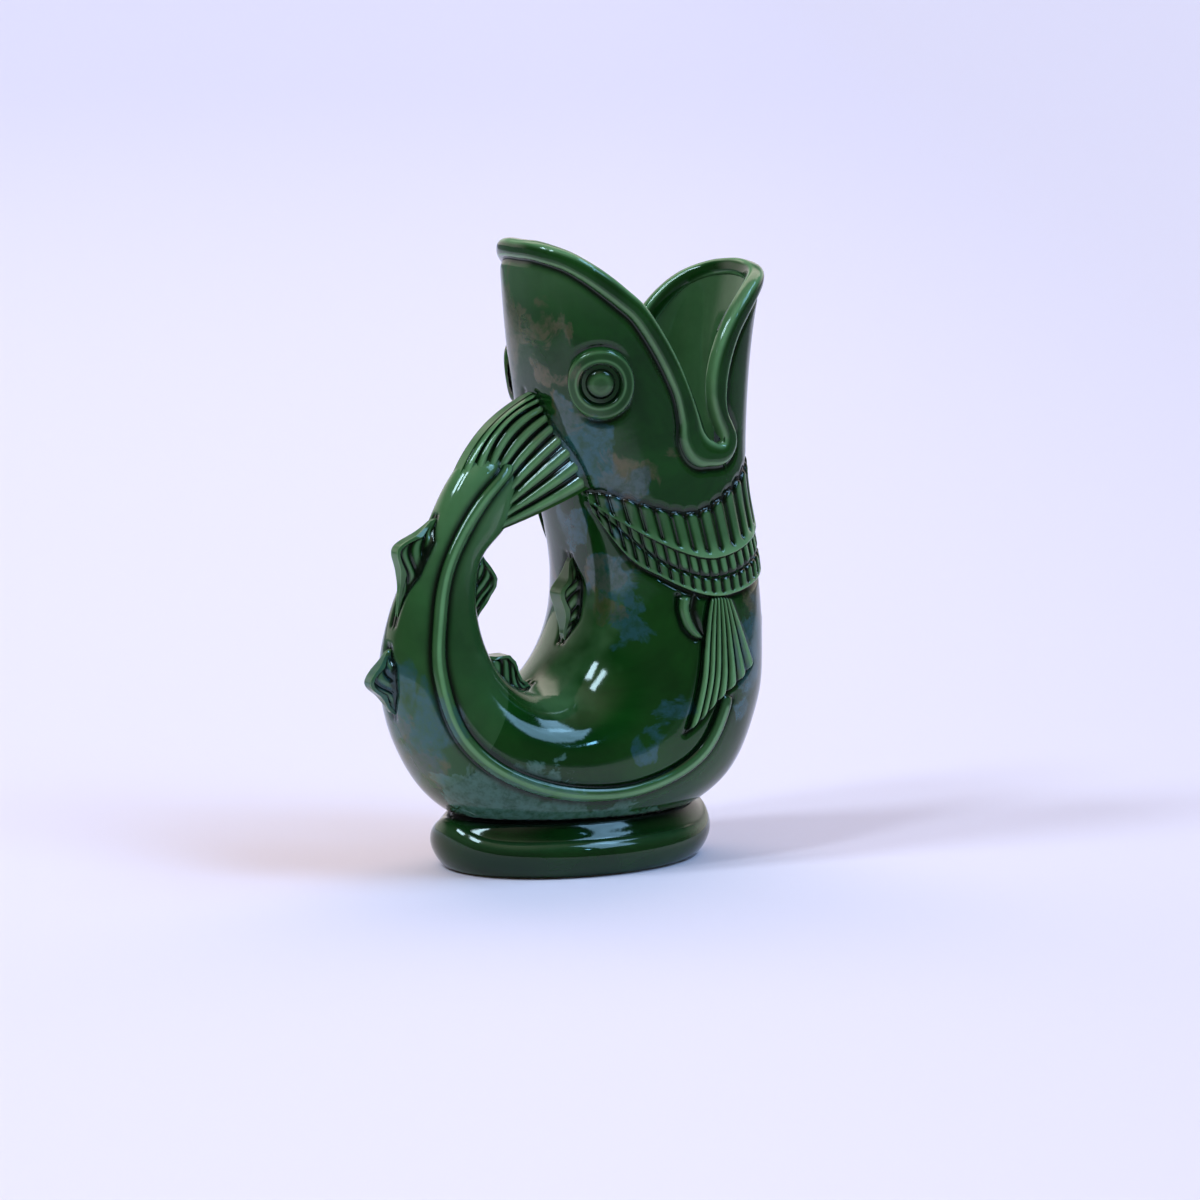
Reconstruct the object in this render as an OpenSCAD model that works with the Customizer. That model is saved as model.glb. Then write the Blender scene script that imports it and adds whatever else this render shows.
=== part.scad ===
// Gurgle jug: a glazed earthenware fish that stands on its curled belly on an
// oval foot, with its mouth open to pour and its tail bent up into a handle.
// The whole body is one bent tube. Its skin is a row of stations along the
// fish, counted from 0 above the mouth to 20 at the tail tip. A point of the
// skin has a station and an angle: 0 degrees on the fish's back, which faces
// the hole of the handle, and 180 degrees on its underside. The right side of
// the fish, toward -Y, has angles above 0. The fish looks toward +X.

/* [Jug] */
// Height from the table to the top of the snout
jug_h = 240; // [220:1:260]
// Length along X that the fish's outline is drawn to
jug_l = 180; // [168:1:192]
// Width of the belly
belly_w = 88; // [80:1:96]
// Thickness of the cast clay wall
wall_t = 4.5; // [3.5:0.1:5.2]

/* [Mouth] */
// Width of the rolled lip, measured down from its top edge
lip_w = 7.5; // [5.5:0.25:9.5]
// How far the rolled lip stands out of the wall on each face
lip_proud = 1.3; // [0.6:0.1:2]

/* [Eyes] */
// Diameter of the raised disc of an eye
eye_d = 27.5; // [22:0.5:32]
// Height of the disc above the cheek
eye_rise = 2.2; // [1.4:0.1:3]
// Diameter of the button in the middle of an eye
pupil_d = 10.5; // [8:0.5:12.5]
// Width of the round groove about the button
pupil_groove = 2.2; // [1.2:0.1:3]

/* [Gills] */
// Number of long flutes on each gill cover
flute_count = 18; // [10:1:22]
// Number of short beads in each row under the flutes
bead_count = 25; // [14:1:30]
// Height of the flutes over the skin
flute_rise = 1.1; // [0.6:0.1:1.8]
// Height of the ledge under the flutes and of the beads
ledge_rise = 1.8; // [1:0.1:2.6]

/* [Fins] */
// Thickness at the edge of the fins round the hole of the handle
fin_t = 8; // [5:0.5:10]
// Thickness at the edge of the fins outside the tail and on the belly
outer_fin_t = 5; // [3:0.5:7]
// How much each face of a fin spreads toward its root
fin_flare = 3; // [1:0.25:4]
// Depth of the grooves between the rays of a fin
ray_depth = 1.2; // [0.6:0.1:1.8]
// Height of the fin on the back of the neck
neck_fin_h = 7; // [5:0.25:10]
// Height of the fin at the bottom of the handle's hole
saddle_fin_h = 9; // [6:0.25:12]
// Height of the fin inside the handle's hole, on the tail
inner_fin_h = 9; // [6:0.25:12]
// Height of the upper fin outside the tail
upper_fin_h = 10; // [7:0.25:13]
// Height of the lower fin outside the tail
lower_fin_h = 8.5; // [5:0.25:11]
// Height of the fin on the front of the belly
belly_fin_h = 9.5; // [6:0.25:12]
// Height of the pectoral fin's rays over the belly
pectoral_rise = 2.4; // [1.4:0.1:3.2]
// Height of the crescent lobe beside the pectoral fin
lobe_rise = 2.2; // [1.2:0.1:3]

/* [Tail] */
// Thickness of the tail fan where it springs from the tail
fan_t = 14; // [10:0.5:17]
// Bow of the fan's outer edge
fan_bow = 8; // [5:0.25:10]
// Width of the bead along each flank
rib_w = 6; // [4:0.25:8]
// Height of the bead along each flank
rib_rise = 2; // [1.2:0.1:3]

/* [Foot] */
// Length of the oval foot at its widest
foot_l = 119; // [111:1:127]
// Width of the oval foot at its widest
foot_w = 81; // [74:1:88]
// Height of the foot's top edge at the sides
foot_h = 15; // [13:0.25:17]
// How much higher the foot's top edge is at its two ends
foot_end_rise = 6; // [3:0.25:7]
// How much more the foot draws in at its ends toward the bottom
foot_end_slope = 4; // [2:0.25:6]
// How far the belly sits down into the foot
seat_depth = 4.5; // [3.5:0.25:5.5]
// How far the foot's side bulges out over its top and bottom edges
foot_bulge = 5; // [3:0.25:7]
// Distance of the foot's middle in front of the jug's middle
foot_x = 1.5; // [-3:0.25:5]
// Height of the bare clay ring that the jug stands on
ring_h = 1.2; // [0.8:0.1:2]
// Width of the bare clay ring
ring_w = 6; // [4:0.25:8]
// Depth of the hollow under the foot, above the ring
recess_h = 3.5; // [2:0.25:5]

/* [Hidden] */

GLAZE = "#1f5a2b";
GLAZE_LIGHT = "#3f7d46";
BARE_CLAY = "#d8c3a0";

// How far relief and fins root down into the wall
root_depth = wall_t / 3;

belly_z = foot_h - seat_depth;

// Stations of the fish, from above the mouth to the tip of the tail. Each row
// has the back's x and z, the underside's x and z, the half width and the
// squareness of the section. x is a share of the length, z of the height over
// the belly's lowest point, and the half width of the belly's width.
spine_shares = [
    [-0.130, 1.020, 0.480, 1.020, 0.384, 2.8],
    [-0.122, 0.915, 0.442, 0.915, 0.385, 2.8],
    [-0.107, 0.810, 0.416, 0.810, 0.385, 2.8],
    [-0.084, 0.705, 0.404, 0.705, 0.386, 2.75],
    [-0.050, 0.600, 0.402, 0.600, 0.390, 2.65],
    [-0.012, 0.512, 0.413, 0.510, 0.405, 2.6],
    [0.007, 0.434, 0.429, 0.418, 0.432, 2.5],
    [0.002, 0.364, 0.438, 0.309, 0.464, 2.35],
    [-0.027, 0.311, 0.427, 0.198, 0.490, 2.2],
    [-0.071, 0.271, 0.340, 0.071, 0.499, 2.15],
    [-0.108, 0.255, 0.136, 0.003, 0.482, 2.15],
    [-0.148, 0.257, -0.091, 0.000, 0.441, 2.15],
    [-0.185, 0.277, -0.288, 0.055, 0.377, 2.15],
    [-0.216, 0.310, -0.396, 0.158, 0.302, 2.15],
    [-0.236, 0.359, -0.444, 0.277, 0.226, 2.15],
    [-0.241, 0.416, -0.430, 0.377, 0.168, 2.15],
    [-0.222, 0.480, -0.389, 0.457, 0.137, 2.15],
    [-0.163, 0.524, -0.341, 0.529, 0.126, 2.15],
    [-0.137, 0.570, -0.300, 0.590, 0.120, 2.1],
    [-0.132, 0.608, -0.258, 0.632, 0.098, 2.0],
    [-0.156, 0.638, -0.205, 0.650, 0.040, 2.0]];
// Stations where the head meets the belly, the belly the tail, and the hollow ends
neck_station = 5.5;
tail_station = 12.5;
hollow_end_station = 18.5;

// Rim of the open mouth on the right side, from the snout over the corner of
// the mouth to the jaw: the angle, the height as a share of the body's height,
// and the width of the lip there as a share of its usual width.
rim_shares = [
    [0, 0.993, 1], [15, 0.993, 1], [28, 0.988, 1], [40, 0.977, 1], [50, 0.958, 1.05],
    [58, 0.937, 1.1], [66, 0.912, 1.1], [73, 0.889, 1.1], [80, 0.856, 1.1], [87, 0.819, 1.1],
    [93, 0.783, 1.1], [98, 0.745, 1.1], [102.5, 0.704, 1.2], [105, 0.680, 1.4],
    [108, 0.666, 1.45], [112, 0.657, 1.2], [115.5, 0.652, 1.05], [117.5, 0.656, 1.1],
    [116.5, 0.670, 0.95], [113.5, 0.690, 0.9], [111, 0.714, 1], [110, 0.738, 1.1],
    [110.5, 0.768, 1.15], [113, 0.804, 1.15], [118, 0.846, 1.1], [124, 0.879, 1.1],
    [131.5, 0.906, 1.05], [140, 0.923, 1], [153, 0.935, 1], [167, 0.940, 1], [180, 0.942, 1]];
rim_last = len(rim_shares) - 1;
// Height of the body for height shares, which makes the rim's top the jug's top
body_h = (jug_h - belly_z) / max([for (r = rim_shares) r[1]]);
spine = [for (s = spine_shares)
    [s[0] * jug_l, belly_z + s[1] * body_h, s[2] * jug_l, belly_z + s[3] * body_h,
     s[4] * belly_w, s[5]]];
tip_station = len(spine) - 1;
// Rim with the angle of the wall's column under each place. Over the corner of
// the mouth the lip leans out past the wall, whose columns go on in order.
column_gap = 0.25;
rim = [for (i = [0:rim_last])
    concat(rim_shares[i], max([for (k = [0:i]) rim_shares[k][0] + (i - k) * column_gap]))];
// The same rim all round: the right side, then back along the left side
rim_loop = concat(rim, [for (i = [rim_last - 1:-1:1])
    [-rim[i][0], rim[i][1], rim[i][2], -rim[i][3]]]);

// Smooth curve through the rows of a table; u counts rows from 0
function smooth(table, u) =
    let (last = len(table) - 1,
         k = max(0, min(last - 1, floor(u))),
         t = max(0, min(last, u)) - k,
         p1 = table[k],
         p2 = table[k + 1],
         p0 = k > 0 ? table[k - 1] : 2 * p1 - p2,
         p3 = k + 2 <= last ? table[k + 2] : 2 * p2 - p1)
    p1 + ((p2 - p0) * t + (2 * p0 - 5 * p1 + 4 * p2 - p3) * t * t
        + (3 * p1 - p0 - 3 * p2 + p3) * t * t * t) / 2;

function between(a, b, t) = a + (b - a) * t;

// Point of the skin at a station and angle, moved in by an inset
function skin(u, angle, inset = 0) =
    let (s = smooth(spine, u),
         half = [s[0] - s[2], s[1] - s[3]] / 2,
         middle = [s[0] + s[2], s[1] + s[3]] / 2,
         c = cos(angle),
         k = sin(angle),
         q = pow(pow(abs(c), s[5]) + pow(abs(k), s[5]), -1 / s[5]),
         along = (1 - inset / norm(half)) * c * q)
    [middle[0] + half[0] * along, -(s[4] - inset) * k * q, middle[1] + half[1] * along];

// Small steps for slopes, in stations and in degrees
station_step = 0.02;
angle_step = 0.5;
function station_slope(u, angle) =
    let (lo = max(0, u - station_step), hi = min(tip_station, u + station_step))
    (skin(hi, angle) - skin(lo, angle)) / (hi - lo);
function angle_slope(u, angle) =
    (skin(u, angle + angle_step) - skin(u, angle - angle_step)) / (2 * angle_step);
function outward(u, angle) =
    let (n = cross(station_slope(u, angle), angle_slope(u, angle))) n / norm(n);
function raised(u, angle, rise) = skin(u, angle) + outward(u, angle) * rise;

// Station of a height share on the head, whose first stations are level
function head_station(share) =
    (spine_shares[0][1] - share) / (spine_shares[0][1] - spine_shares[1][1]);

function turned(list) = [for (i = [len(list) - 1:-1:0]) list[i]];
function centre_of(points) = [for (p = points) 1] * points / len(points);

// Closed solid through a row of closed rings with equal numbers of points.
// ends: "joined" joins the last ring to the first, "centre" closes each end
// about its centre, "strip" closes it between its first and second half.
module loft(rings, ends) {
    m = len(rings);
    n = len(rings[0]);
    w = n / 2;
    joined = ends == "joined";
    centres = ends == "centre" ? [centre_of(rings[0]), centre_of(rings[m - 1])] : [];
    sides = [for (i = [0:joined ? m - 1 : m - 2], j = [0:n - 1])
        let (a = i * n + j,
             b = i * n + (j + 1) % n,
             c = ((i + 1) % m) * n + (j + 1) % n,
             d = ((i + 1) % m) * n + j)
        each [[a, b, c], [a, c, d]]];
    last = (m - 1) * n;
    caps = ends == "centre"
        ? [for (j = [0:n - 1]) each [
            [m * n, (j + 1) % n, j],
            [m * n + 1, last + j, last + (j + 1) % n]]]
        : ends == "strip"
        ? [for (j = [0:w - 2]) each [
            [j, n - 1 - j, n - 2 - j], [j, n - 2 - j, j + 1],
            [last + j, last + n - 2 - j, last + n - 1 - j], [last + j, last + j + 1, last + n - 2 - j]]]
        : [];
    polyhedron(concat([for (r = rings) each r], centres), concat(sides, caps));
}

// Solid between a front grid and a back grid of points
module slab(front, back) {
    loft([for (i = [0:len(front) - 1]) concat(front[i], turned(back[i]))], "strip");
}

// Relief on the skin. spots has rows of [station, angle, rise].
module relief(spots) {
    slab([for (row = spots) [for (p = row) raised(p[0], p[1], p[2])]],
         [for (row = spots) [for (p = row) raised(p[0], p[1], -root_depth)]]);
}

module left_of_right() {
    mirror([0, 1, 0]) children();
}

// Hollow head, from the rim of the mouth down to the neck
head_rows = 8;
function head_ring(t, inset) = [for (r = rim_loop)
    skin(between(head_station(r[1]), neck_station, t), r[3], inset)];
module head_shell() {
    outer = [for (i = [0:head_rows]) head_ring(i / head_rows, 0)];
    inner = [for (i = [head_rows:-1:0]) head_ring(i / head_rows, wall_t)];
    color(GLAZE) loft(concat(outer, inner), "joined");
}

// Hollow belly, from the neck round to the root of the tail
belly_rows = 18;
belly_sides = 40;
function belly_ring(t, inset) = [for (j = [0:belly_sides - 1])
    skin(between(neck_station, tail_station, t), j * 360 / belly_sides, inset)];
module belly_shell() {
    outer = [for (i = [0:belly_rows]) belly_ring(i / belly_rows, 0)];
    inner = [for (i = [belly_rows:-1:0]) belly_ring(i / belly_rows, wall_t)];
    color(GLAZE) loft(concat(outer, inner), "joined");
}

// Tail, hollow from the belly almost to its tip, which traps the air that gurgles
tail_rows = 15;
tail_sides = 20;
function tail_ring(u, inset) = [for (j = [0:tail_sides - 1]) skin(u, j * 360 / tail_sides, inset)];
module tail_handle() {
    inner = [for (i = [tail_rows - 2:-1:0])
        tail_ring(between(tail_station, hollow_end_station, i / (tail_rows - 2)), wall_t)];
    outer = [for (i = [0:tail_rows])
        tail_ring(between(tail_station, tip_station, i / tail_rows), 0)];
    color(GLAZE) loft(concat(inner, outer), "centre");
}

// Rolled lip that runs round the whole rim of the mouth
lip_sides = 8;
function lip_place(i) =
    let (r = rim_loop[(i + len(rim_loop)) % len(rim_loop)])
    skin(head_station(r[1]), r[0], wall_t / 2);
function lip_ring(i) =
    let (r = rim_loop[i],
         n = outward(head_station(r[1]), r[0]),
         run = lip_place(i + 1) - lip_place(i - 1),
         away = cross(run, n) / norm(cross(run, n)),
         half_w = lip_w * r[2] / 2,
         half_t = wall_t / 2 + lip_proud)
    [for (j = [0:lip_sides - 1])
        let (a = j * 360 / lip_sides)
        lip_place(i) + away * half_w * (1 + cos(a)) + n * half_t * sin(a)];
module lip_roll() {
    color(GLAZE_LIGHT) loft([for (i = [0:len(rim_loop) - 1]) lip_ring(i)], "joined");
}

// Oval outline of the foot, drawn in by an inset and at its ends by a part of
// their slope
foot_sides = 48;
function oval(inset, low) = [for (j = [0:foot_sides - 1])
    let (a = j * 360 / foot_sides)
    [foot_x + (foot_l / 2 - inset - low * foot_end_slope) * cos(a), (inset - foot_w / 2) * sin(a)]];
// Ring of the foot at a height, with a part of the rise of its ends
foot_rise_power = 12;
function foot_place(inset, low, z, part) =
    let (outline = oval(inset, low))
    [for (j = [0:foot_sides - 1])
        [outline[j][0], outline[j][1],
         z + part * foot_end_rise * pow(cos(j * 360 / foot_sides), foot_rise_power)]];
ring_inset = foot_bulge * 0.9;

// Oval foot with a rounded side, a hollow underneath and a top that fills up to
// the belly and holds it. top_shares has places on the top: inset as a share of
// half the foot's width, rise as a share of the seat, part of the ends' rise.
foot_side_steps = 6;
foot_top_shares = [[0.19, 0.05, 0.9], [0.27, 0.5, 0.4], [0.45, -0.15, 0.1], [0.7, -0.6, 0]];
module foot() {
    recess_inset = ring_inset + ring_w;
    under = [
        foot_place(foot_w / 2 - ring_w, 1, ring_h + recess_h, 0),
        foot_place(recess_inset + recess_h, 1, ring_h + recess_h, 0),
        foot_place(recess_inset, 1, ring_h, 0)];
    side = [for (i = [0:foot_side_steps])
        let (a = -90 + 180 * i / foot_side_steps, up = (1 + sin(a)) / 2)
        foot_place(foot_bulge * (1 - cos(a)), pow(1 - up, 2), between(ring_h, foot_h, up), up)];
    top = [for (t = foot_top_shares)
        foot_place(t[0] * foot_w / 2, 0, foot_h + t[1] * seat_depth, t[2])];
    color(GLAZE) loft(concat(under, side, top), "centre");
}

// Bare clay ring under the foot, wiped clean of glaze, that the jug stands on
module foot_ring() {
    color(BARE_CLAY) linear_extrude(ring_h) difference() {
        polygon(oval(ring_inset, 1));
        polygon(oval(ring_inset + ring_w, 1));
    }
}

// Round eye: a disc that follows the cheek, with a sunk middle for the button
eye_station = 2.46;
eye_angle = 51;
eye_sides = 32;
pupil_seat = eye_rise / 4;
// Station and angle of the skin's point nearest to a target, found in steps
function nearest(at, target, steps) =
    steps == 0 ? at :
    let (e = target - skin(at[0], at[1]),
         along = station_slope(at[0], at[1]),
         round = angle_slope(at[0], at[1]))
    nearest([at[0] + e * along / (along * along), at[1] + e * round / (round * round)],
        target, steps - 1);
function eye_ring(r, rise) =
    let (middle = skin(eye_station, eye_angle),
         n = outward(eye_station, eye_angle),
         across = cross([0, 0, 1], n) / norm(cross([0, 0, 1], n)),
         up = cross(n, across))
    [for (j = [0:eye_sides - 1])
        let (a = -j * 360 / eye_sides,
             at = nearest([eye_station, eye_angle], middle + r * (cos(a) * across + sin(a) * up), 4))
        raised(at[0], at[1], rise)];
// Rings of the disc from its root to the middle: distance in from the edge and
// rise, both as shares of the rise of the disc
eye_edge_shares = [[0, 0.35], [0.15, 0.75], [0.6, 1]];
module right_eye() {
    r = eye_d / 2;
    hollow_r = pupil_d / 2 + pupil_groove;
    color(GLAZE_LIGHT) loft(concat(
        [eye_ring(r, -root_depth)],
        [for (e = eye_edge_shares) eye_ring(r - e[0] * eye_rise, e[1] * eye_rise)],
        [eye_ring(hollow_r + pupil_seat, eye_rise), eye_ring(hollow_r, pupil_seat)]), "centre");
}
module left_eye() {
    left_of_right() right_eye();
}

// Button in the middle of the eye, with a rounded top
pupil_edge_steps = 4;
module right_pupil() {
    n = outward(eye_station, eye_angle);
    top = eye_rise * 1.2;
    round_r = pupil_d / 5;
    crown = [for (i = [0:pupil_edge_steps])
        let (a = 90 * i / pupil_edge_steps)
        [pupil_d / 2 - round_r * (1 - cos(a)), top - round_r * (1 - sin(a)) * 0.8]];
    color(GLAZE)
        translate(skin(eye_station, eye_angle))
        rotate([0, acos(n[2]), atan2(n[1], n[0])])
        rotate_extrude($fn = 32)
        polygon(concat([[0, 0], [pupil_d / 2, 0]], crown, [[0, top]]));
}
module left_pupil() {
    left_of_right() right_pupil();
}

// Lines of the gill cover on the side of the head, every 16 degrees from its
// rear end: stations of the flutes' top edge, of the ledge under the flutes,
// of the groove between the two rows of beads, and of the bottom edge.
gill_stations = [
    [4.20, 4.23, 4.27, 4.32],
    [4.24, 4.71, 4.93, 5.45],
    [4.43, 5.11, 5.52, 5.88],
    [4.60, 5.40, 5.80, 6.15],
    [4.62, 5.53, 5.90, 6.25],
    [4.42, 5.46, 5.83, 6.18],
    [4.14, 5.29, 5.67, 6.04],
    [3.90, 5.08, 5.50, 5.88],
    [3.72, 4.93, 5.35, 5.73],
    [3.62, 4.86, 5.27, 5.66]];
gill_rear_angle = 31;
gill_front_angle = 174;
gill_row_angle = 16;
gill_first_angle = 30;
// Flutes crowd a little toward the ends of the cover
gill_crowding = 0.03;
function gill_angle(t) =
    between(gill_rear_angle, gill_front_angle, t - gill_crowding * sin(360 * t));
function gill_lines(angle) = smooth(gill_stations, (angle - gill_first_angle) / gill_row_angle);

// Each flute has a groove and two crests, and an arched top; rows run from the
// top edge to the ledge: place and rise of the crests, then of the groove
flute_points = 3;
flute_shares = [
    [0, -0.1, 0.13, -0.1], [0.1, 0.8, 0.2, -0.1], [0.5, 1, 0.5, -0.1],
    [0.87, 1.3, 0.87, 0.2], [1, 1.6, 1, 1.5]];
module right_gill_flutes() {
    spots = [for (r = flute_shares) [for (i = [0:flute_points * flute_count])
        let (angle = gill_angle(i / (flute_points * flute_count)),
             line = gill_lines(angle),
             groove = i % flute_points == 0)
        [between(line[0], line[1], r[groove ? 2 : 0]), angle, r[groove ? 3 : 1] * flute_rise]]];
    color(GLAZE_LIGHT) relief(spots);
}
module left_gill_flutes() {
    left_of_right() right_gill_flutes();
}

// Two rows of beads; below 1 a place lies in the upper row, above in the lower
bead_shares = [
    [0.03, 0.05, 0.05], [0.5, 0.6, 0], [0.85, 0.8, 0], [1, -0.1, -0.1],
    [1.2, 0.7, 0], [1.8, 0.75, 0.2], [2, 0.9, 0.85]];
module right_gill_beads() {
    spots = [for (r = bead_shares) [for (i = [0:2 * bead_count])
        let (angle = gill_angle(i / (2 * bead_count)),
             line = gill_lines(angle),
             share = i % 2 == 0 ? r[2] : r[1],
             u = r[0] < 1 ? between(line[1], line[2], r[0]) : between(line[2], line[3], r[0] - 1))
        [u, angle, share * ledge_rise]]];
    color(GLAZE_LIGHT) relief(spots);
}
module left_gill_beads() {
    left_of_right() right_gill_beads();
}

// Pectoral fin: rows from its rear edge to its front edge, each with the
// station and angle of the root, the middle and the tip of the ray
pectoral_guides = [
    [[6.30, 90], [7.35, 84], [8.85, 88.5]],
    [[6.28, 97], [7.20, 97], [8.12, 99]],
    [[6.30, 104], [6.83, 111], [7.36, 120]]];
pectoral_rays = 7;
ray_groove_share = 0.96;
ray_row_shares = [[0, 0.5, 0.3], [0.2, 0.8, 0.4], [0.6, 0.9, 0.5], [0.92, 1, 0.6], [1, 0.9, 0.5]];
module right_pectoral_fin() {
    columns = 2 * pectoral_rays;
    spots = [for (r = ray_row_shares) [for (i = [0:columns])
        let (guide = smooth(pectoral_guides, 2 * i / columns),
             place = smooth(guide, 2 * r[0] * (i % 2 == 0 ? ray_groove_share : 1)),
             outer = i == 0 || i == columns)
        [place[0], place[1], (outer || i % 2 == 1 ? r[1] : r[2]) * pectoral_rise]]];
    color(GLAZE) relief(spots);
}
module left_pectoral_fin() {
    left_of_right() right_pectoral_fin();
}

// Crescent lobe at the rear of the pectoral fin's root: station, angle of its
// rear edge, angle of its front edge
lobe_rows = [[6.24, 70, 77.5], [6.5, 69, 75.5], [6.8, 71, 78], [6.98, 75, 82], [7.05, 79, 83.5]];
lobe_crown_shares = [[0, 0.1], [0.3, 0.8], [0.7, 1], [1, 0.2]];
module right_fin_lobe() {
    spots = [for (r = lobe_rows) [for (c = lobe_crown_shares)
        [r[0], between(r[1], r[2], c[0]), c[1] * lobe_rise]]];
    color(GLAZE) relief(spots);
}
module left_fin_lobe() {
    left_of_right() right_fin_lobe();
}

// Bead along the flank from the pectoral fin round to the tail tip: its angle
// at every station from its first one on, and where it starts and ends
rib_first_station = 8;
rib_start_station = 8.05;
rib_end_station = 19.3;
rib_angles = [104, 104.5, 104, 104, 107, 114, 110.5, 106, 109.5, 113, 100.5, 76, 50];
rib_rows = 34;
rib_shares = [[-1, -0.1], [-0.6, 0.8], [0, 1], [0.6, 0.8], [1, -0.1]];
module right_side_rib() {
    spots = [for (i = [0:rib_rows])
        let (u = between(rib_start_station, rib_end_station, i / rib_rows),
             middle = smooth(rib_angles, u - rib_first_station),
             reach = rib_w / 2 / norm(angle_slope(u, middle)))
        [for (p = rib_shares) [u, middle + p[0] * reach, p[1] * rib_rise]]];
    color(GLAZE_LIGHT) relief(spots);
}
module left_side_rib() {
    left_of_right() right_side_rib();
}

// Fin in the plane of symmetry. It is widest at its root and narrows to a flat
// outer edge. outline_shares has the station and the share of the height of
// points along the edge. Rows run from the root to the edge: place between
// them, rise over the skin of a root row, and depth of the grooves.
fin_row_shares = [[0, -1, 0], [0, 0.6, 0.4], [0.35, 0, 1], [0.8, 0, 1], [0.9, 0, 0], [1, 0, 0]];
module fin(angle, thick, height, rays, outline_shares) {
    columns = 2 * rays;
    side = [for (r = fin_row_shares) [for (i = [0:columns])
        let (spot = smooth(outline_shares, i * (len(outline_shares) - 1) / columns),
             tall = max(0, min(1, spot[1])),
             root_y = thick / 2 + fin_flare * min(1, tall * 2),
             spread = asin(min(0.9, root_y / smooth(spine, spot[0])[4])),
             edge = raised(spot[0], angle, tall * height - root_depth * (1 - min(1, tall * 8))),
             root = raised(spot[0], angle + (angle > 90 ? -spread : spread), r[1] * root_depth),
             groove = i % 2 == 0 && i > 0 && i < columns ? r[2] * ray_depth : 0,
             place = between(root, [edge[0], -thick / 2, edge[2]], r[0]))
        [place[0], place[1] + groove, place[2]]]];
    color(GLAZE) slab(side, [for (row = side) [for (p = row) [p[0], -p[1], p[2]]]]);
}
module neck_fin() {
    fin(0, fin_t, neck_fin_h, 5, [[5.6, 0], [6.05, 0.45], [6.42, 1], [6.95, 0.5], [7.4, 0.15], [7.8, 0]]);
}
module saddle_fin() {
    fin(0, fin_t, saddle_fin_h, 4, [[9.7, 0], [10.6, 0.5], [11.4, 0.9], [12.25, 1], [13.1, 0]]);
}
module inner_tail_fin() {
    fin(0, fin_t, inner_fin_h, 4, [[13.8, 0], [14.35, 0.25], [14.9, 0.72], [15.45, 1], [16.1, 0]]);
}
module upper_tail_fin() {
    fin(180, outer_fin_t, upper_fin_h, 5,
        [[17.3, 0], [16.8, 0.42], [16.32, 1], [15.95, 0.5], [15.55, 0.15], [15, 0]]);
}
module lower_tail_fin() {
    fin(180, outer_fin_t, lower_fin_h, 4, [[14.6, 0], [14.35, 0.4], [14.08, 1], [13.85, 0.45], [13.55, 0]]);
}
module belly_fin() {
    fin(180, outer_fin_t, belly_fin_h, 5,
        [[7.78, 0], [7.6, 0.75], [7.2, 1], [6.8, 1], [6.35, 0.75], [6.1, 0]]);
}

// Back of the head's skin at a height and at a distance from the middle plane
function head_back_x(z, y) =
    let (s = smooth(spine, head_station((z - belly_z) / body_h)))
    (s[0] + s[2]) / 2 + (s[0] - s[2]) / 2 * pow(1 - pow(abs(y) / s[4], s[5]), 1 / s[5]);

// Tail fan. Guides run from its lower edge to its outer edge: x share and z
// share of the place inside the tail where the ray springs, height share and
// half width share where it lies on the head, and share of the bow.
fan_guides = [
    [-0.215, 0.516, 0.588, 0.233, -0.1],
    [-0.200, 0.536, 0.623, 0.220, -0.1],
    [-0.195, 0.553, 0.654, 0.188, 0],
    [-0.195, 0.577, 0.681, 0.135, 0.15],
    [-0.205, 0.600, 0.706, 0.097, 0.4],
    [-0.235, 0.602, 0.726, 0.071, 0.75],
    [-0.305, 0.548, 0.742, 0.051, 1]];
fan_rays = 9;
fan_ray_points = 3;
fan_row_shares = [0, 0.15, 0.5, 0.85, 1];
fan_seat = wall_t / 3;
function fan_place(guide, t) =
    let (start = [guide[0] * jug_l, belly_z + guide[1] * body_h],
         end_y = guide[3] * belly_w,
         end_z = belly_z + guide[2] * body_h,
         end = [head_back_x(end_z, end_y) + fan_seat, end_z],
         run = end - start,
         bow = [-run[1], run[0]] / norm(run) * fan_bow * guide[4] * 4 * t * (1 - t),
         p = between(start, end, t) + bow)
    [p[0], between(fan_t / 2, end_y, t), p[1]];
module tail_fan() {
    columns = fan_rays * fan_ray_points;
    rings = [for (i = [0:columns])
        let (guide = smooth(fan_guides, i * (len(fan_guides) - 1) / columns),
             groove = i % fan_ray_points == 0 && i > 0 && i < columns ? ray_depth : 0,
             side = [for (t = fan_row_shares)
                 let (p = fan_place(guide, t)) [p[0], p[1] - groove * (t < 1 ? 1 : 0), p[2]]],
             tip = fan_place(guide, 1),
             seat = [head_back_x(tip[2], 0) + fan_seat, 0, tip[2]])
        concat(side, [seat], [for (p = turned(side)) [p[0], -p[1], p[2]]])];
    color(GLAZE_LIGHT) loft(rings, "centre");
}

head_shell();
belly_shell();
tail_handle();
tail_fan();
lip_roll();
foot();
foot_ring();
right_eye();
left_eye();
right_pupil();
left_pupil();
right_gill_flutes();
left_gill_flutes();
right_gill_beads();
left_gill_beads();
right_pectoral_fin();
left_pectoral_fin();
right_fin_lobe();
left_fin_lobe();
right_side_rib();
left_side_rib();
neck_fin();
saddle_fin();
inner_tail_fin();
upper_tail_fin();
lower_tail_fin();
belly_fin();
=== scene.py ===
import math

import bpy
import numpy as np
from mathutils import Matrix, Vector
from mathutils.kdtree import KDTree


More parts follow.
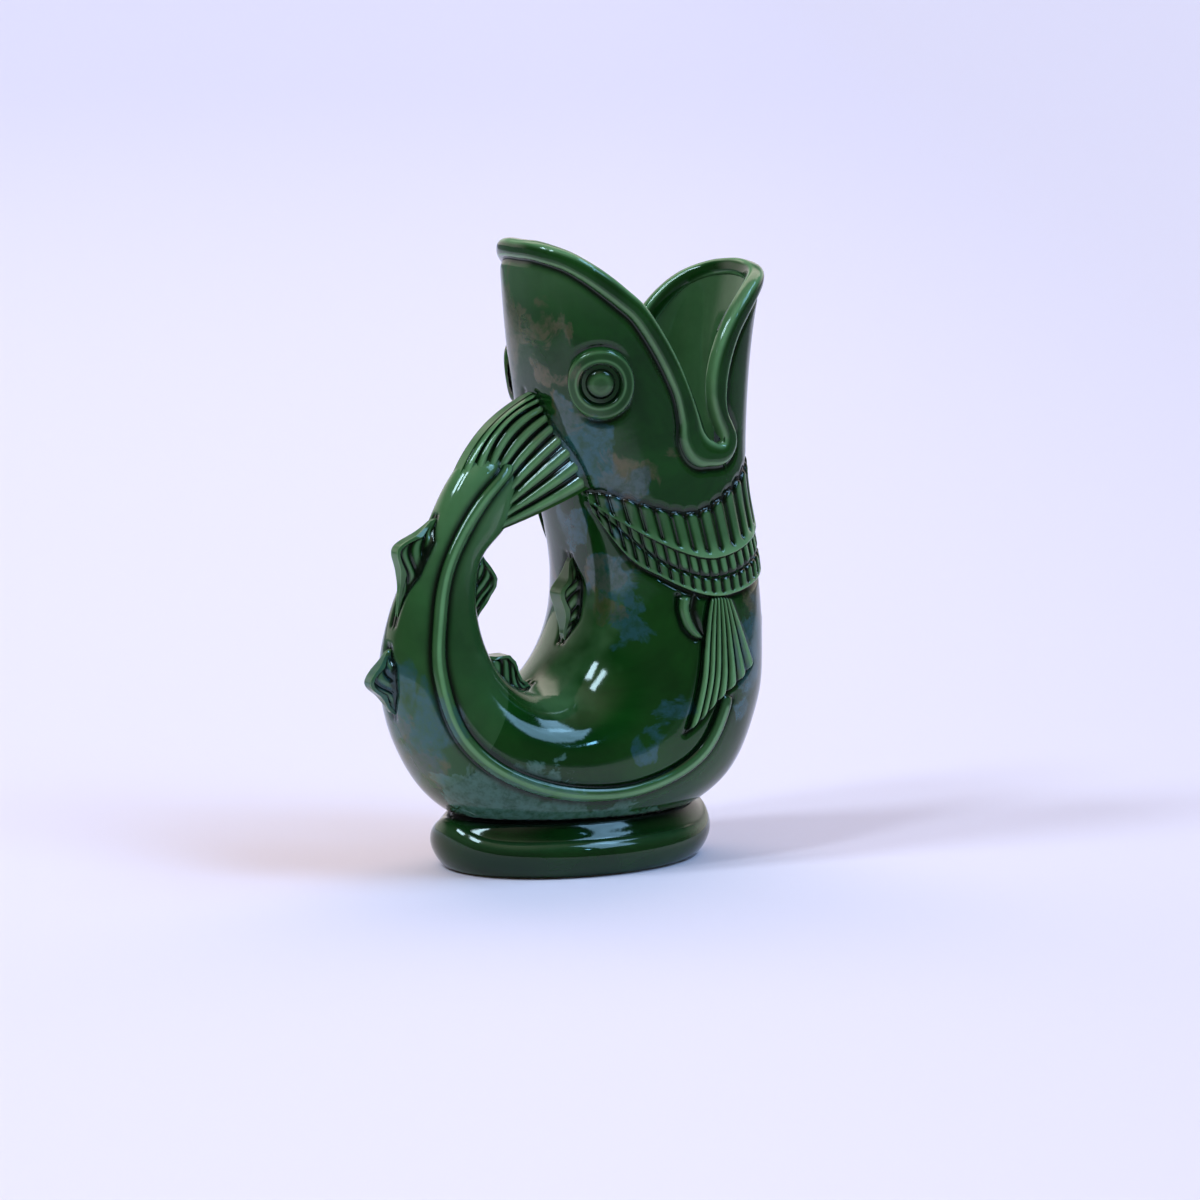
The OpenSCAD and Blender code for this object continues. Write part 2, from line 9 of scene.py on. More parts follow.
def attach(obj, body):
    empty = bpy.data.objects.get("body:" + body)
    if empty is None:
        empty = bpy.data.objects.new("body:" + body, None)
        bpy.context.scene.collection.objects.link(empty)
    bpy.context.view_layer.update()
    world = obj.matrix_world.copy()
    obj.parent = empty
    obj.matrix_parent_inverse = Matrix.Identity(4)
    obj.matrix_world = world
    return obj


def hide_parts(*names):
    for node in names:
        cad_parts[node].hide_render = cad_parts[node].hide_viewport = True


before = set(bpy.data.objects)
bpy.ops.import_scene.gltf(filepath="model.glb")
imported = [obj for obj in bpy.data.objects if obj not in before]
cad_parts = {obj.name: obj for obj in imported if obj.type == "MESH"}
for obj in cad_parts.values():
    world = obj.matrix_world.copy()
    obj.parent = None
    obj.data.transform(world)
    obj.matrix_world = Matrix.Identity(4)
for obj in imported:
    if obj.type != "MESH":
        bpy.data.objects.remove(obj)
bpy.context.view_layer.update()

# ---- Gill covers
# Long rounded flutes under an arched outline, and two rows of short beads below
# them, on both sides of the head. They are glazed earthenware, formed by the
# mould in one with the slip-cast wall.

# Sizes are in millimetres. A station, counted down from the mouth along the body,
# and an angle give a place on its skin: 0 degrees on the fish's back, 180 on its
# underside.
MM = 0.001
TURN = 2 * math.pi
LENGTH, WIDTH, HEIGHT = 180, 88, 240
BELLY_Z = 10.5          # the belly's lowest point, above the table
BODY_H = (HEIGHT - BELLY_Z) / 0.993
WALL = 4.5
# A row for each station: the back's place, the underside's place and half the
# width, as shares of the body's sizes, and how square the section is
SPINE = np.array([
    [-0.130, 1.020, 0.480, 1.020, 0.384, 2.8], [-0.122, 0.915, 0.442, 0.915, 0.385, 2.8],
    [-0.107, 0.810, 0.416, 0.810, 0.385, 2.8], [-0.084, 0.705, 0.404, 0.705, 0.386, 2.75],
    [-0.050, 0.600, 0.402, 0.600, 0.390, 2.65], [-0.012, 0.512, 0.413, 0.510, 0.405, 2.6],
    [0.007, 0.434, 0.429, 0.418, 0.432, 2.5], [0.002, 0.364, 0.438, 0.309, 0.464, 2.35],
    [-0.027, 0.311, 0.427, 0.198, 0.490, 2.2], [-0.071, 0.271, 0.340, 0.071, 0.499, 2.15],
    [-0.108, 0.255, 0.136, 0.003, 0.482, 2.15], [-0.148, 0.257, -0.091, 0.000, 0.441, 2.15],
    [-0.185, 0.277, -0.288, 0.055, 0.377, 2.15], [-0.216, 0.310, -0.396, 0.158, 0.302, 2.15],
    [-0.236, 0.359, -0.444, 0.277, 0.226, 2.15], [-0.241, 0.416, -0.430, 0.377, 0.168, 2.15],
    [-0.222, 0.480, -0.389, 0.457, 0.137, 2.15], [-0.163, 0.524, -0.341, 0.529, 0.126, 2.15],
    [-0.137, 0.570, -0.300, 0.590, 0.120, 2.1], [-0.132, 0.608, -0.258, 0.632, 0.098, 2.0],
    [-0.156, 0.638, -0.205, 0.650, 0.040, 2.0]])
SPINE = SPINE * [LENGTH, BODY_H, LENGTH, BODY_H, WIDTH, 1] + [0, BELLY_Z, 0, BELLY_Z, 0, 0]


def smooth(table, u):
    """Smooth curve through the rows of a table, at places counted in rows."""
    table, u = np.asarray(table, float), np.asarray(u, float)
    last = len(table) - 1
    k = np.clip(np.floor(u), 0, last - 1).astype(int)
    t = (np.clip(u, 0, last) - k)[..., None]
    a, b = table[k], table[k + 1]
    before = np.where((k > 0)[..., None], table[np.maximum(k - 1, 0)], 2 * a - b)
    after = np.where((k + 2 <= last)[..., None], table[np.minimum(k + 2, last)], 2 * b - a)
    return a + ((b - before) * t + (2 * before - 5 * a + 4 * b - after) * t * t
                + (3 * a - before - 3 * b + after) * t ** 3) / 2


# The body's curve, evened out a little so that reflections run over it smoothly
FINE = 40
spread = np.exp(-np.linspace(-2.5, 2.5, 25) ** 2 / 2)
fine = smooth(SPINE, np.arange((len(SPINE) - 1) * FINE + 1) / FINE)
ends = [2 * fine[:1] - fine[12:0:-1], 2 * fine[-1:] - fine[-2:-14:-1]]
fine = np.concatenate([ends[0], fine, ends[1]])
fine = np.stack([np.convolve(c, spread / spread.sum(), "valid") for c in fine.T], 1)


def skin(u, angle, inset=0.0):
    """Places on the body at stations and angles, or that far inside its face."""
    s = smooth(fine, np.asarray(u) * FINE)
    hx, hz = (s[..., 0] - s[..., 2]) / 2, (s[..., 1] - s[..., 3]) / 2
    c, k = np.cos(np.radians(angle)), np.sin(np.radians(angle))
    q = (np.abs(c) ** s[..., 5] + np.abs(k) ** s[..., 5]) ** (-1 / s[..., 5])
    along = (1 - inset / np.hypot(hx, hz)) * c * q
    return np.stack([(s[..., 0] + s[..., 2]) / 2 + hx * along, -(s[..., 4] - inset) * k * q,
                     (s[..., 1] + s[..., 3]) / 2 + hz * along], -1)


def unit(v):
    return v / np.maximum(np.linalg.norm(v, axis=-1, keepdims=True), 1e-9)


def outward(u, angle):
    """The skin's normals."""
    return unit(np.cross(skin(u + 0.02, angle) - skin(u - 0.02, angle),
                         skin(u, angle + 0.5) - skin(u, angle - 0.5)))


def raised(u, angle, rise):
    """Places that far above the skin."""
    return skin(u, angle) + outward(u, angle) * np.asarray(rise)[..., None]


def step(lo, hi, x):
    """0 up to 1, smoothly, as x goes from one bound to the other."""
    t = np.clip((x - lo) / (hi - lo), 0, 1)
    return t * t * (3 - 2 * t)


def round_bar(x):
    """Cross-section of a rounded bar, for x from -1 to 1."""
    return np.sqrt(np.maximum(0, 1 - np.minimum(1, np.abs(x) * 0.985) ** 2))


def rounded(k):
    """1 down to 0 along a quarter circle, for k from 0 to 1."""
    return np.sqrt(1 - np.clip(k, 0, 1) ** 2)


def slopes(p, around=False):
    """Normals of a grid of points, which may close on itself along its rows."""
    if around:
        wide = np.concatenate([p[:, -1:], p, p[:, :1]], 1)
        sideways = wide[:, 2:] - wide[:, :-2]
    else:
        sideways = np.gradient(p, axis=1)
    return unit(np.cross(np.gradient(p, axis=0), sideways))


def quads(rows, cols, join_rows=False, join_cols=False):
    """The faces of a grid of points, which may close on itself either way."""
    i, j = np.meshgrid(np.arange(rows if join_rows else rows - 1),
                       np.arange(cols if join_cols else cols - 1), indexing="ij")
    a, b = i * cols + j, ((i + 1) % rows) * cols + j
    c, d = ((i + 1) % rows) * cols + (j + 1) % cols, i * cols + (j + 1) % cols
    return np.stack([a, b, c, d], -1).reshape(-1, 4)


def turned(faces, normals, outside):
    """Faces and normals as they are, or turned over if they don't face outside."""
    return (faces, normals) if outside else (faces[:, ::-1], -normals)


def piece(node, points, faces, normals, pool_and_shade, light, flip=False):
    """A mesh in the place of a CAD node, with marks for pooled glaze and painted shade, and for
    thin glaze, painted highlights and painted light.
    """
    points, normals = points.reshape(-1, 3) * MM, normals.reshape(-1, 3)
    if flip:
        points, normals, faces = points * [1, -1, 1], normals * [1, -1, 1], faces[:, ::-1]
    mesh = bpy.data.meshes.new(node + "_glazed")
    mesh.vertices.add(len(points))
    mesh.vertices.foreach_set("co", points.ravel())
    mesh.loops.add(faces.size)
    mesh.loops.foreach_set("vertex_index", np.ascontiguousarray(faces).ravel())
    mesh.polygons.add(len(faces))
    mesh.polygons.foreach_set("loop_start", np.arange(len(faces)) * 4)
    mesh.update(calc_edges=True)
    mesh.shade_smooth()
    mesh.normals_split_custom_set_from_vertices(normals.tolist())
    for name, values in (("pool_and_shade", pool_and_shade), ("light", light)):
        mesh.attributes.new(name, "FLOAT", "POINT").data.foreach_set(
            "value", np.clip(np.broadcast_to(values, len(points)), 0, 1).astype(np.float32))
    obj = bpy.data.objects.new(node + "_glazed", mesh)
    bpy.context.scene.collection.objects.link(obj)
    obj.data.materials.append(glaze)
    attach(obj, "root")
    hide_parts(node)


ROOTED = 1.4            # how deep relief goes into the wall


def relief(name, u, angle, rise, pool_and_shade, light):
    """Relief on both sides of the jug, rooted in the wall."""
    front = raised(u, angle, rise)
    back = raised(u, angle, np.minimum(rise, 0) - ROOTED)
    rows, cols = u.shape
    n = rows * cols
    face = quads(rows, cols)
    # Walls round the edge join the front to the hidden back
    i, j = np.arange(rows), np.arange(cols)
    edge = np.concatenate([i[:0:-1] * cols, j[:-1], i[:-1] * cols + cols - 1,
                           (rows - 1) * cols + j[:0:-1]])
    after = np.roll(edge, -1)
    walls = np.stack([edge, after, after + n, edge + n], 1)
    faces = np.concatenate([face, face[:, ::-1] + n, walls])
    normals = slopes(front).reshape(-1, 3)
    points = np.concatenate([front.reshape(-1, 3), back.reshape(-1, 3)])
    marks = [np.concatenate([m.ravel(), np.full(n, 0.5)]) for m in (pool_and_shade, light)]
    for side in ("right", "left"):
        piece(f"{side}_{name}", points, faces, np.concatenate([normals, -normals]), *marks,
              flip=side == "left")


# Deep green glaze, with patches of blue and brown lustre: clear green where it lies
# thin over ridges and where highlights and light are painted on, almost black where
# it pools in grooves and where shade is painted into grooves and contacts.
def add(kind, ins=(), **props):
    """A shader node, with its inputs linked or set."""
    made = nodes.new("ShaderNode" + kind)
    for key, value in props.items():
        setattr(made, key, value)
    for key, value in dict(ins).items():
        if isinstance(value, bpy.types.NodeSocket):
            links.new(value, made.inputs[key])
        else:
            made.inputs[key].default_value = value
    return made


def begin(owner, coordinates):
    """An empty node tree for a material or the room, which the next calls fill."""
    global nodes, links, place
    owner.use_nodes = True
    nodes, links = owner.node_tree.nodes, owner.node_tree.links
    nodes.clear()
    place = add("TexCoord").outputs[coordinates]
    return owner


def mixed(share, a, b):
    return add("Mix", {0: share, 6: a, 7: b}, data_type="RGBA").outputs[2]


def maths(op, a, b=0.0, c=0.0, clamp=False):
    return add("Math", {0: a, 1: b, 2: c}, operation=op, use_clamp=clamp).outputs[0]


def ranged(value, lo, hi, to_lo=0.0, to_hi=1.0):
    return add("MapRange", {0: value, 1: lo, 2: hi, 3: to_lo, 4: to_hi},
               interpolation_type="SMOOTHSTEP").outputs[0]


def vectors(op, a, b=(0, 0, 0), out="Vector"):
    return add("VectorMath", {0: a, 1: b}, operation=op).outputs[out]


def scaled(vector, share):
    return add("VectorMath", {0: vector, "Scale": share}, operation="SCALE").outputs["Vector"]


def noise(scale, detail=3.0, rough=0.55, warp=0.0):
    return add("TexNoise", {"Vector": place, "Scale": scale, "Detail": detail,
                            "Roughness": rough, "Distortion": warp}).outputs["Fac"]


glaze = begin(bpy.data.materials.new("green_glaze"), "Object")
# The marks: pool for pooled glaze and painted shade, light for thin glaze, painted highlights and
# painted light
pool_and_shade_mark = add("Attribute", attribute_name="pool_and_shade").outputs["Fac"]
thin_and_painted_light_mark = add("Attribute", attribute_name="light").outputs["Fac"]

# Both sides of the jug count as one, and places wander a little, so that the
# patches of lustre get ragged outlines
mirrored = vectors("ADD", vectors("MULTIPLY", vectors("ABSOLUTE", place), (0, 1, 1)),
                   vectors("MULTIPLY", place, (1, 0, 0)))
wander = add("TexNoise", {"Vector": place, "Scale": 30, "Detail": 3.0, "Roughness": 0.6})
wander = scaled(vectors("SUBTRACT", wander.outputs["Color"], (0.5, 0.5, 0.5)), 0.065)
either_side = vectors("ADD", mirrored, wander)


def near(x, y, z, radius):
    """1 about a place on either side of the jug, in metres, down to 0 at the radius."""
    return ranged(vectors("DISTANCE", either_side, (x, y, z), "Value"), radius, radius * 0.25)


# The lighter green stands for thin glaze and painted highlights, the near black for pooled glaze
# and painted shade
CLEAR_GREEN, DEEP_GREEN = (0.008, 0.064, 0.007, 1), (0.004, 0.034, 0.004, 1)
THIN_AND_LIT_GREEN, POOLED_AND_SHADED = (0.200, 0.420, 0.165, 1), (0.0010, 0.0035, 0.0018, 1)
BLUE, BROWN, MOTTLE = (0.018, 0.080, 0.090, 1), (0.098, 0.078, 0.036, 1), (0.085, 0.190, 0.140, 1)
cloud = noise(22, 4, 0.6, 0.6)
streak = noise(60, 3, 0.6)
colour = mixed(ranged(cloud, 0.35, 0.7), DEEP_GREEN, CLEAR_GREEN)
# Painted light: the saddle below the handle's hole is lightened like thin glaze
saddle = maths("MAXIMUM", near(-0.004, 0.007, 0.092, 0.026), near(-0.014, 0.010, 0.072, 0.030))
thin_and_painted_light = maths("MULTIPLY_ADD", thin_and_painted_light_mark, ranged(streak, 0.2, 0.8, 0.7, 1.0),
             maths("MULTIPLY", saddle, 0.25))
colour = mixed(thin_and_painted_light, colour, THIN_AND_LIT_GREEN)


def flakes(scale, level, spots):
    """Sharp-edged flecks of lustre about some places on the jug."""
    about = 0.0
    for spot in spots:
        about = maths("MAXIMUM", about, near(*spot))
    cover = maths("MULTIPLY_ADD", noise(scale, 5, 0.65, 1.0), 1.0, maths("MULTIPLY", about, 0.45))
    cover = maths("MULTIPLY", ranged(cover, level, level + 0.10), ranged(about, 0.02, 0.3))
    worn = maths("MULTIPLY", cover, ranged(noise(260, 4, 0.7), 0.30, 0.62, 0.35, 1.0))
    return maths("MULTIPLY", worn, maths("SUBTRACT", 1.0, thin_and_painted_light_mark, clamp=True))


blue = flakes(38, 0.80, [
    (-0.006, 0.022, 0.160, 0.030), (0.006, 0.030, 0.144, 0.024), (0.010, 0.030, 0.104, 0.026),
    (-0.079, 0.008, 0.078, 0.030), (-0.073, 0.012, 0.055, 0.034), (0.020, 0.043, 0.056, 0.020),
    (0.058, 0.037, 0.080, 0.034), (0.0, 0.0, 0.128, 0.022)])
colour = mixed(maths("MULTIPLY", blue, 0.70), colour, BLUE)
brown = flakes(52, 0.82, [
    (-0.021, 0.010, 0.208, 0.028), (-0.018, 0.013, 0.190, 0.028), (-0.010, 0.018, 0.166, 0.026),
    (0.008, 0.030, 0.148, 0.026), (0.006, 0.027, 0.108, 0.024), (0.062, 0.036, 0.096, 0.024),
    (-0.070, 0.014, 0.046, 0.026)])
colour = mixed(maths("MULTIPLY", brown, 0.50), colour, BROWN)
above_foot = ranged(add("SeparateXYZ", {0: place}).outputs["Z"], 0.019, 0.024)
mottle = maths("MULTIPLY", flakes(95, 0.72, [
    (-0.053, 0.022, 0.032, 0.030), (-0.038, 0.027, 0.025, 0.030), (-0.020, 0.031, 0.022, 0.030),
    (0.005, 0.031, 0.020, 0.026)]), above_foot)
colour = mixed(maths("MULTIPLY", mottle, 0.75), colour, MOTTLE)
# Pooled glaze and painted shade darken the colour almost to black
colour = mixed(maths("MULTIPLY", pool_and_shade_mark, 0.97), colour, POOLED_AND_SHADED)
ripple = add("Bump", {"Strength": 0.22, "Distance": 0.0004, "Height": noise(70, 2, 0.5)})
ripple = add("Bump", {"Strength": 0.12, "Distance": 0.0002, "Height": noise(380, 2, 0.5),
                      "Normal": ripple.outputs[0]})
lustre = maths("MAXIMUM", blue, brown)
gloss = mixed(brown, (0.88, 1.0, 0.86, 1), (1.0, 0.86, 0.68, 1))
gloss = mixed(blue, gloss, (0.60, 0.92, 1.0, 1))
shader = add("BsdfPrincipled", {
    "Base Color": colour, "Roughness": ranged(streak, 0.2, 0.8, 0.05, 0.10),
    "IOR": maths("MULTIPLY_ADD", lustre, 0.30, 1.48), "Normal": ripple.outputs[0],
    "Specular Tint": gloss, "Sheen Weight": 0.16, "Sheen Roughness": 0.25,
    "Sheen Tint": (0.9, 0.9, 1.0, 1)})
add("OutputMaterial", {"Surface": shader.outputs[0]})

creases = []        # places along grooves, and how deep the glaze pools and shade is painted there


def crease(points, depth=1.0):
    """A groove along these points and their mirror image."""
    points = np.asarray(points).reshape(-1, 3)
    creases.extend((p, depth) for p in points)
    creases.extend((p * [1, -1, 1], depth) for p in points)


# Stations of the cover's top line, the flutes' lower ends, the line between the
# beads and the lower edge, every 16 degrees from 30
GILL = [
    [4.20, 4.23, 4.27, 4.32], [4.24, 4.71, 4.93, 5.45], [4.43, 5.11, 5.52, 5.88],
    [4.60, 5.40, 5.80, 6.15], [4.62, 5.53, 5.90, 6.25], [4.42, 5.46, 5.83, 6.18],
    [4.14, 5.29, 5.67, 6.04], [3.90, 5.08, 5.50, 5.88], [3.72, 4.93, 5.35, 5.73],
    [3.62, 4.86, 5.27, 5.66]]
GILL_REAR, GILL_FRONT = 31, 174
FLUTES = 18


def gill_angle(t):
    """Angles from the cover's rear to its front, a little closer together at both ends."""
    return GILL_REAR + (GILL_FRONT - GILL_REAR) * (t - 0.03 * np.sin(TURN * t))


def gill_lines(angle):
    return smooth(GILL, (angle - 30) / 16)


def gill_grid(rows, cols, top, bottom, first, second):
    """Angles and stations between two lines of the gill cover, with shares."""
    s, t = np.meshgrid(np.linspace(top, bottom, rows), np.linspace(0, 1, cols), indexing="ij")
    angle = gill_angle(t)
    line = gill_lines(angle)
    return s, t, angle, line[..., first] + (line[..., second] - line[..., first]) * s


def across(t, count):
    """Places across each of a row of flutes, beads or rays, from -1 to 1."""
    return 2 * ((t * count) % 1) - 1


def arched(x):
    """How far the round end of a flute or ray lies back at its edges."""
    return 1 - rounded(0.96 * np.abs(x))


def inside_ends(t, count):
    """0 at both ends of a row of flutes or beads, 1 from half a flute in."""
    return step(0, 0.5, t * count) * step(0, 0.5, (1 - t) * count)


def duller_behind(angle):
    """The crests' light mark, thin glaze and painted highlight, is weaker on the rear flutes and
    beads than on the front.
    """
    return 0.35 + 0.65 * step(45, 95, angle)


s, t, angle, u = gill_grid(64, FLUTES * 16 + 1, -0.03, 1.03, 0, 1)
x = across(t, FLUTES)
length = np.maximum(1.0, np.linalg.norm(skin(u[-1], angle[-1]) - skin(u[0], angle[0]), axis=-1))
from_top = (s - 0.13 * arched(x)) * length / 2.2
bar = round_bar(x)
bar = bar + (1 - bar) * step(0.80, 0.94, s)
body = bar * rounded(1 - from_top) * np.sqrt(1 - step(0.985, 1.03, s))
rise = -0.5 + (0.5 + 0.75 + 1.05 * s ** 2) * body
ends = inside_ends(t, FLUTES)
# Dark between the flutes: pooled glaze and painted shade; light on their crests: thin glaze and
# painted highlights
relief("gill_flutes", u, angle, rise * ends - 0.4 * (1 - ends), 1 - step(0.45, 0.93, body),
       step(0.75, 1, body) * (0.40 + 0.45 * step(0.6, 1, s)) * duller_behind(angle))
line = np.linspace(0, 1, FLUTES * 12 + 1)
line_angle = gill_angle(line)
lines = gill_lines(line_angle)
top = lines[:, 0] + 0.13 * arched(across(line, FLUTES)) * (lines[:, 1] - lines[:, 0])
crease(skin(top - 0.03, line_angle))

# Two rows of short beads under the flutes, from the same mould
BEADS = 25
s, t, angle, u = gill_grid(34, BEADS * 12 + 1, -0.02, 1.0, 1, 2)
bar = round_bar(across(t, BEADS))
body = bar * rounded((s - 0.62) / 0.38)
rise = -0.3 + (0.3 + 0.9 + 0.5 * s) * body
ends = inside_ends(t, BEADS)
s2, _, angle2, u2 = gill_grid(40, BEADS * 12 + 1, 0.0, 1.06, 2, 3)
bar2 = bar[:1] + (1 - bar[:1]) * step(0.72, 0.90, s2)
body2 = bar2 * rounded((0.30 - s2) / 0.30) * np.sqrt(1 - step(0.93, 1.06, s2))
rise2 = -0.5 + (0.5 + 1.35) * body2
# Pooled glaze and painted shade between the beads, thin glaze and painted highlights on their
# crests
both = [np.concatenate(pair) for pair in (
    (u, u2), (angle, angle2),
    (rise * ends - 0.4 * (1 - ends), rise2 * ends[:1] - 0.4 * (1 - ends[:1])),
    (1 - step(0.5, 0.97, body * step(0.0, 0.12, s)), 1 - step(0.5, 0.97, body2)),
    (step(0.75, 1, body) * 0.7 * duller_behind(angle),
     step(0.75, 1, body2) * (0.55 + 0.4 * step(0.7, 0.9, s2)) * duller_behind(angle2)))]
relief("gill_beads", *both)
crease(skin(lines[:, 3] + 0.03, line_angle))

# ---- Eyes
# A round disc with a softened edge, a sunk ring and a domed button in it, on each
# side of the head. They are glazed earthenware, cast with the head in the mould.
EYE = (2.46, 51.0)      # station and angle
eye_middle, eye_out = skin(*EYE), outward(*EYE)
eye_across = unit(np.cross([0, 0, 1], eye_out))
eye_up = np.cross(eye_out, eye_across)


def eye_disc(name, radii, heights, pool_and_shade, light):
    """A round form laid on the curved side of the head, ring by ring."""
    r, a = np.meshgrid(radii, np.linspace(0, TURN, 97)[:-1], indexing="ij")
    target = eye_middle + r[..., None] * (np.cos(a)[..., None] * eye_across
                                          + np.sin(a)[..., None] * eye_up)
    # Station and angle of each target, found in five steps
    u, angle = np.full(r.shape, EYE[0]), np.full(r.shape, EYE[1])
    for _ in range(5):
        gap = target - skin(u, angle)
        su = (skin(u + 0.02, angle) - skin(u - 0.02, angle)) / 0.04
        sa = (skin(u, angle + 0.5) - skin(u, angle - 0.5))
        u = u + (gap * su).sum(-1) / (su * su).sum(-1)
        angle = angle + (gap * sa).sum(-1) / (sa * sa).sum(-1)
    p = raised(u, angle, np.array(heights)[:, None] + 0 * r)
    n = slopes(p, True)
    n = n * np.where((n * eye_out).sum(-1, keepdims=True) < 0, -1, 1)
    # Painted shade: the dark marks grow heavier towards the bottom of the eye
    pool_and_shade = np.array(pool_and_shade)[:, None] * (0.82 - 0.18 * np.sin(a))
    for side in ("right", "left"):
        piece(f"{side}_{name}", p, quads(*r.shape, False, True), n, pool_and_shade.ravel(),
              np.repeat(light, r.shape[1]), flip=side == "left")


r = np.concatenate([np.linspace(0.01, 5, 8), np.linspace(5.4, 15.2, 60)])
h = -0.9 + 3.0 * np.sqrt(step(14.3, 12.0, r)) - 2.3 * step(8.3, 7.0, r)
# Dark marks: pooled glaze and painted shade in the sunk ring and round the disc's outline. Light
# marks: painted highlight rings on the disc's shoulder and at the ring's edge, and a painted
# highlight on the button's dome
eye_disc("eye", r, h, np.maximum(0.6 * step(13.5, 14.2, r), step(8.9, 7.4, r)),
         0.06 + np.exp(-((r - 12.3) / 0.5) ** 2) * 0.35 + np.exp(-((r - 9.2) / 0.45) ** 2) * 0.5)
r = np.linspace(0.01, 6.2, 36)
h = -0.4 + 2.7 * np.clip(1 - (r / 5.9) ** 2.6, 0, 1) ** 0.6
eye_disc("pupil", r, h, step(3.8, 5.0, r), 0.16 + np.exp(-((r - 3.0) / 0.8) ** 2) * 0.15)
a = np.linspace(0, TURN, 180)[:, None]
# Painted shade on the head round the disc's edge
crease(eye_middle + 14.1 * (np.cos(a) * eye_across + np.sin(a) * eye_up))

# ---- Pectoral fins
# A fan of seven long rays on each side of the belly, under the gill cover, with a
# crescent lobe at its root. They are glazed earthenware, formed by the mould.

# Station and angle at the root, half-way and at the tip of the first, the middle
# and the last ray
PECTORAL = np.array([
    [[6.30, 90], [7.35, 84], [8.85, 88.5]],
    [[6.28, 97], [7.20, 97], [8.12, 99]],
    [[6.30, 104], [6.83, 111], [7.36, 120]]], float)
RAYS = 7


def pectoral(t, s):
    """Station and angle at a share of the way across the fin and along its rays."""
    guide = smooth(PECTORAL.reshape(3, 6), 2 * t).reshape(t.shape + (3, 2))
    k = np.clip(s, -0.1, 1.1)[..., None]
    return guide[..., 0, :] * (1 - k) * (1 - 2 * k) + guide[..., 1, :] * 4 * k * (1 - k) \
        + guide[..., 2, :] * k * (2 * k - 1)


s, t = np.meshgrid(np.linspace(-0.02, 1.0, 80), np.linspace(0, 1, RAYS * 16 + 1), indexing="ij")
x = across(t, RAYS)
spot = pectoral(t, s)
tip = (1.0 - 0.035 * arched(x) - s) / 0.05
root = (s + 0.02) / 0.05
body = round_bar(x) * rounded(1 - tip) * rounded(1 - root)
rise = -0.5 + (0.5 + 1.5 + 0.7 * s) * body
# Pooled glaze and painted shade between the rays; thin glaze and painted highlight lines on their
# crests
relief("pectoral_fin", spot[..., 0], spot[..., 1], rise, 1 - step(0.35, 0.85, body),
       step(0.40, 0.85, body) * 0.50 + step(0.90, 1, body) * (0.25 + 0.35 * s))
k = np.linspace(0, 1, 120)
for t, s in ((k, 0 * k), (k, 1 + 0 * k), (0 * k, k), (1 + 0 * k, k)):
    spot = pectoral(t, s)
    crease(skin(spot[:, 0], spot[:, 1]))

# The crescent lobe, a row for each station: its rear and its front edge
LOBE = [[6.24, 70, 77.5], [6.5, 69, 75.5], [6.8, 71, 78], [6.98, 75, 82], [7.05, 79, 83.5]]
s, t = np.meshgrid(np.linspace(0, 1, 50), np.linspace(0, 1, 30), indexing="ij")
row = smooth(LOBE, 4 * s)
body = round_bar(2 * t - 1) * rounded((s - 0.8) / 0.2) * rounded((0.1 - s) / 0.1)
# Pooled glaze and painted shade round the lobe; thin glaze and a painted highlight on its crest
relief("fin_lobe", row[..., 0], row[..., 1] + (row[..., 2] - row[..., 1]) * t,
       -0.5 + 2.8 * body, 1 - step(0.25, 0.7, body),
       step(0.4, 0.9, body) * 0.3 + step(0.9, 1, body) * 0.3)
row = smooth(LOBE, 4 * k)
crease(skin(row[:, 0], row[:, 1]))
crease(skin(row[:, 0], row[:, 2]))
# Painted shade in the pit between the lobe and the fin
crease(raised(row[:, 0], row[:, 2] + 3, 0 * k), 1.2)

# ---- Side ribs
# A rounded bead along each flank, from the pectoral fin round the curl to the tip
# of the tail. It is glazed earthenware, formed by the mould.
RIB = [[a] for a in (104, 104.5, 104, 104, 107, 114, 110.5, 106, 109.5, 113, 100.5, 76, 50)]
RIB_W = 6.0
RIB_START, RIB_END = 8.0, 19.4


def rib_reach(u, middle):
    """Half the rib's width, in degrees."""
    return RIB_W / 2 / np.linalg.norm(skin(u, middle + 0.5) - skin(u, middle - 0.5), axis=-1)


s, x = np.meshgrid(np.linspace(RIB_START, RIB_END, 520), np.linspace(-1, 1, 25), indexing="ij")
middle = smooth(RIB, s - RIB_START)[..., 0]
body = round_bar(x) * rounded((RIB_START + 0.25 - s) / 0.25) * rounded((s - RIB_END + 0.2) / 0.2)
# Pooled glaze and painted shade along the rib's sides, thin glaze and a painted highlight line on
# its crest
relief("side_rib", s, middle + x * rib_reach(s, middle), -0.6 + 2.5 * body,
       1 - step(0.2, 0.7, body), step(0.3, 0.9, body) * 0.25 + step(0.93, 1, body) * 0.60)
line = np.linspace(RIB_START + 0.05, RIB_END - 0.1, 900)
middle = smooth(RIB, line - RIB_START)[:, 0]
for side in (-1.08, 1.08):
    crease(skin(line, middle + side * rib_reach(line, middle)))

# ---- Fins on the middle line
# Six short fins round the hole of the handle, outside the tail and on the belly,
# with sunk ribbed sides and flat edges. They are cast in one with the wall, and
# the mould parts along their edges.


